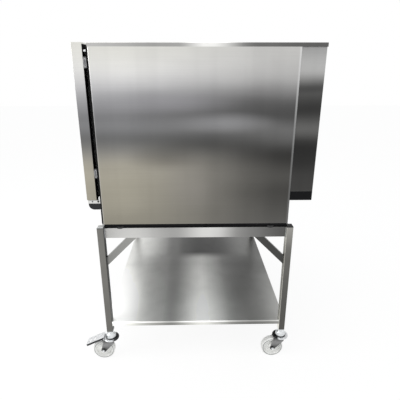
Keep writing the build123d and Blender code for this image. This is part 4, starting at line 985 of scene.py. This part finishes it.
# %% [markdown]
# The control panel is left of the door. Lit figures lie on its glass: a temperature and a clock,
# each built from seven bars. The bars go by their usual letters: a on top, then clockwise to f,
# and g in the middle. Such figures are generic, as on any oven.
# %% Display figures
screen_low, screen_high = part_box("display_pane")
middle_x = (screen_low.x + screen_high.x) / 2
on_screen = facing((0, screen_low.y - print_thick, 0), front_way)
bar_long, bar_wide, figure_step, colon_step = 0.013, 0.0024, 0.021, 0.008
bars = {"a": (0, 1, True), "b": (0.5, 0.5, False), "c": (0.5, -0.5, False), "d": (0, -1, True),
        "e": (-0.5, -0.5, False), "f": (-0.5, 0.5, False), "g": (0, 0, True)}
figure_bars = {"0": "adfbec", "1": "bc", "2": "agdbe", "5": "agdfc", "8": "agdfbec"}


def bar_outline(x, y, level_bar):
    """A long hexagon, lying or standing."""
    tip, wide = bar_long * 0.44, bar_wide / 2
    points = [(-tip, 0), (-tip + wide, wide), (tip - wide, wide), (tip, 0), (tip - wide, -wide),
              (-tip + wide, -wide)]
    if not level_bar:
        points = [(b, a) for a, b in points]
    return [(x + a, y + b) for a, b in points]


def figures(maker, text, x, y, place, size=1.0):
    """Seven-bar figures from left to right, with a colon as two small squares."""
    for sign in text:
        if sign == ":":
            for rise in (-0.004, 0.004):
                square = rectangle(-0.001, -0.001, 0.001, 0.001)
                maker.mark([(x + a, y + (rise + b) * size) for a, b in square], place)
            x += colon_step * size
            continue
        for bar in figure_bars[sign]:
            across, rise, level_bar = bars[bar]
            outline = bar_outline(across * bar_long, rise * bar_long, level_bar)
            maker.mark([(x + a * size, y + b * size) for a, b in outline], place)
        x += figure_step * size


maker = Maker()
figures(maker, "180", middle_x - 0.021, screen_high.z - 0.06, on_screen, 1.25)
figures(maker, "25:00", middle_x - 0.034, screen_high.z - 0.125, on_screen)
maker.hoop(0.0022, 0.0013, (middle_x + 0.052, screen_high.z - 0.046), 16, on_screen)
maker.piece("display_figures", display_light, fixed)
print("display figures done")

# %% [markdown]
# Under the figures stand a row of small level lights and three touch signs, for hot air, steam and
# both, between two thin rules. A drop, a fan and a ring are signs that no maker owns.
# %% Display signs


def drop(middle, size):
    """A water drop: a circle whose top runs to a point."""
    points = []
    for step in range(20):
        turn = 2 * math.pi * step / 20
        pull = 0.9 * max(0.0, math.sin(turn)) ** 6
        points.append((middle[0] + size * math.cos(turn) * (1 - pull),
                       middle[1] + size * (math.sin(turn) + pull)))
    return points


def blade(middle, size, turn):
    """One curved fan blade."""
    shape = [(0.15, 0.0), (0.5, 0.32), (0.95, 0.3), (1.0, 0.0), (0.6, -0.08)]
    return [(middle[0] + size * (a * math.cos(turn) - b * math.sin(turn)),
             middle[1] + size * (a * math.sin(turn) + b * math.cos(turn))) for a, b in shape]


sign_z = screen_low.z + 0.075
maker = Maker()
for x, fan_size, drop_size, drop_below in (
        (middle_x - 0.05, 0.011, 0, 0), (middle_x, 0, 0.006, 0.002), (middle_x + 0.05, 0.008, 0.0035, 0)):
    maker.hoop(0.0175, 0.0168, (x, sign_z), 40, on_screen)
    for third in range(3 if fan_size else 0):
        maker.mark(blade((x, sign_z), fan_size, 2 * math.pi * third / 3 + 0.3), on_screen)
    if drop_size:
        maker.plate(drop((x, sign_z - drop_below), drop_size), 0.00012, 0.0002, on_screen)
maker.piece("display_signs", display_light, fixed)
maker = Maker()
for number in range(7):
    x = middle_x - 0.054 + 0.018 * number
    maker.mark(rounded((x - 0.0055, sign_z + 0.04), (x + 0.0055, sign_z + 0.0425), 0.001, 3), on_screen)
maker.piece("level_lights", amber_light, fixed)
maker = Maker()
for z in (sign_z + 0.055, sign_z - 0.032):
    maker.mark(rectangle(middle_x - 0.07, z, middle_x + 0.07, z + 0.0005), on_screen)
maker.piece("display_rules", print_white, fixed)
print("display signs done")

# %% [markdown]
# Round the selector is a printed dial of ticks, and the knob carries a pointer line. The power
# button has the usual broken ring with a bar. Print sits a tenth of a millimetre proud, or two.
# %% Knob dial and power sign
knob_low, knob_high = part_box("selector_knob")
button_low, button_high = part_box("power_button")
knob_x, knob_z = (knob_low.x + knob_high.x) / 2, (knob_low.z + knob_high.z) / 2
button_x, button_z = (button_low.x + button_high.x) / 2, (button_low.z + button_high.z) / 2
knob_radius = (knob_high.x - knob_low.x) / 2
on_fascia = facing((0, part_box("control_fascia")[0].y, 0), front_way)
maker = Maker()
for tick in range(11):
    turn = math.radians(225 - 27 * tick)
    along = Vector((math.cos(turn), math.sin(turn)))
    across = Vector((-along.y, along.x)) * 0.0006
    near_end = Vector((knob_x, knob_z)) + along * (knob_radius + 0.006)
    far_end = Vector((knob_x, knob_z)) + along * (knob_radius + (0.013 if tick % 5 == 0 else 0.010))
    maker.mark([near_end + across, far_end + across, far_end - across, near_end - across], on_fascia)
maker.hoop(0.0165, 0.0158, (button_x, button_z), 40, on_fascia)
maker.piece("dial_ticks", print_black, fixed)
on_button = facing((button_x, button_low.y, button_z), front_way)
gap = math.radians(35)
arc = [math.pi / 2 + gap + (2 * math.pi - 2 * gap) * step / 24 for step in range(25)]
broken_ring = [(radius * math.cos(turn), radius * math.sin(turn))
               for radius, turns in ((0.0055, arc), (0.0046, arc[::-1])) for turn in turns]
maker = Maker()
maker.mark(broken_ring, on_button)
maker.mark(rectangle(-0.0005, 0.0012, 0.0005, 0.0068), on_button)
maker.piece("power_sign", print_white, "button")
on_knob = facing((knob_x, knob_low.y, knob_z), front_way)
maker = Maker()
maker.mark(rounded((-0.0009, 0.010), (0.0009, 0.0235), 0.0008, 3), on_knob, 2 * print_thick)
maker.piece("knob_pointer", print_white, "selector")
print("dial and signs done")

# %% [markdown]
# The stand is welded. A weld leaves a thin ripple of metal in the corner where two tubes meet, so
# each joint gets a closed loop of small rings, swept round the tube like beads on a string.
# %% Weld beads


def bead(maker, outer, inner, low, high, radius=0.0012, spacing=0.0016):
    """A rippled bead round a tube's end, from two places (x, y) and two heights."""
    corners = [Vector((*outer, low)), Vector((*outer, high)), Vector((*inner, high)), Vector((*inner, low))]
    rings = []
    for begin, stop in zip(corners, corners[1:] + corners[:1]):
        along = (stop - begin).normalized()
        side = along.orthogonal().normalized()
        other = along.cross(side)
        count = max(2, round((stop - begin).length / spacing))
        for step in range(count):
            middle = begin.lerp(stop, step / count)
            size = radius * (1.0 if step % 2 else 0.8)
            points = [middle + size * (math.cos(turn) * side + math.sin(turn) * other)
                      for turn in (math.pi * sixth / 3 for sixth in range(6))]
            rings.append([maker.mesh.verts.new(point) for point in points])
            if step:
                maker.bridge(rings[-2], rings[-1])


rail_low, rail_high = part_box("side_rails")
cross_low, cross_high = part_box("cross_rails")
rail_wide = 0.018
maker = Maker()
for side_x in (1, -1):
    x_out, x_in, x_end = (side_x * x for x in (rail_high.x, rail_high.x - rail_wide, cross_high.x))
    for y in (rail_low.y, rail_high.y):
        bead(maker, (x_out, y), (x_in, y), rail_low.z, rail_high.z)
    for side_y in (1, -1):
        y_out, y_in = side_y * cross_high.y, side_y * (cross_high.y - rail_wide)
        bead(maker, (x_end, y_out), (x_end, y_in), cross_low.z, cross_high.z)
maker.piece("weld_beads", zinc_plate, fixed, smooth=True)
print("weld beads done")

# %% [markdown]
# Each castor wheel has a moulded step: a thin grey ring on both faces near the rim. The wheels
# point different ways, so the places and directions come from their joints.
# %% Wheel rings
wheels = [(name[len("roll_"):], Vector(joint["pos_m"]), Vector(joint["axis"]).normalized())
          for name, joint in joints.items() if name.startswith("roll_")]
ring_profile = [(0.0492, -0.0006), (0.0492, 0.0003), (0.0480, 0.0006), (0.0468, 0.0003), (0.0468, -0.0006)]
half_wheel = 0.0158
for name, middle, axle in wheels:
    maker = Maker()
    for way in (1, -1):
        maker.turned(ring_profile, facing(middle + way * axle * half_wheel, way * axle), steps=48)
    maker.piece("wheel_ring_" + name, ring_grey, "wheel_" + name, smooth=True)
print("rings on", len(wheels), "wheels")

# %% [markdown]
# The axle bolt's six-sided head shows bright against the dark fork. A ray sent along the axle
# finds the fork's outer face, so the head sits right on it whichever way the castor points.
# %% Axle bolts
head_profile = [(0.0072, -0.0002), (0.0072, 0.0006), (0.0060, 0.0006), (0.0060, 0.0040), (0.0048, 0.0048),
                (0, 0.0048)]
outside_fork = 0.05
for name, middle, axle in wheels:
    maker = Maker()
    for way in (1, -1):
        found, place, _, _ = nodes["castor_fork_" + name].ray_cast(
            middle + way * axle * outside_fork, -way * axle)
        if found:
            maker.turned(head_profile, facing(place, way * axle), steps=6)
    maker.piece("axle_bolt_" + name, zinc_bright, "castor_" + name)
print("axle bolts done")

# %% [markdown]
# Under the fixed ball-race head sits a black dust seal, which shows as a dark line between the
# bright head and the fork's round crown. It is fixed with the stem.
# %% Dust seals
seal_z = 0.1262
maker = Maker()
for name, _, _ in wheels:
    place = Vector(joints["swivel_" + name]["pos_m"])
    maker.turned([(0.0262, 0.0008), (0.0275, 0.0012), (0.0275, 0.0024), (0.0262, 0.0030)],
                 Matrix.Translation((place.x, place.y, seal_z)), steps=40)
maker.piece("dust_seals", seal_rubber, fixed, smooth=True)
print("dust seals done")

# %% Lamp bezel and drain collar
lamp_low, lamp_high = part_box("chamber_lamp")
lamp_radius = (lamp_high.y - lamp_low.y) / 2
lamp_y, lamp_z = (lamp_low.y + lamp_high.y) / 2, (lamp_low.z + lamp_high.z) / 2
on_lamp = facing((lamp_low.x + 0.001, lamp_y, lamp_z), right_way)
bezel = [(0.007, -0.0005), (0.007, 0.002), (0.004, 0.0042), (0.0006, 0.0042), (0.0006, -0.0005)]
maker = Maker()
maker.turned([(lamp_radius + beyond, height) for beyond, height in bezel], on_lamp, steps=48)
maker.piece("lamp_bezel", zinc_plate, fixed, smooth=True)
drain_low, drain_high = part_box("drain_pipe")
drain_x, drain_z, screws_at = (drain_low.x + drain_high.x) / 2, 0.817, 0.029
maker = Maker()
maker.turned([(0.0245, 0.0001), (0.033, 0.0001), (0.033, 0.0016), (0.0310, 0.0024), (0.0245, 0.0024)],
             facing((drain_x, panel_high.y, drain_z), rear_way), steps=48)
for quarter in range(4):
    turn = math.radians(45 + 90 * quarter)
    x, z = drain_x + screws_at * math.cos(turn), drain_z + screws_at * math.sin(turn)
    screw(maker, (x, panel_high.y + 0.0022, z), rear_way, 0.0022, 0.0012)
maker.piece("drain_collar", zinc_plate, fixed, smooth=True)
print("bezel and collar done")
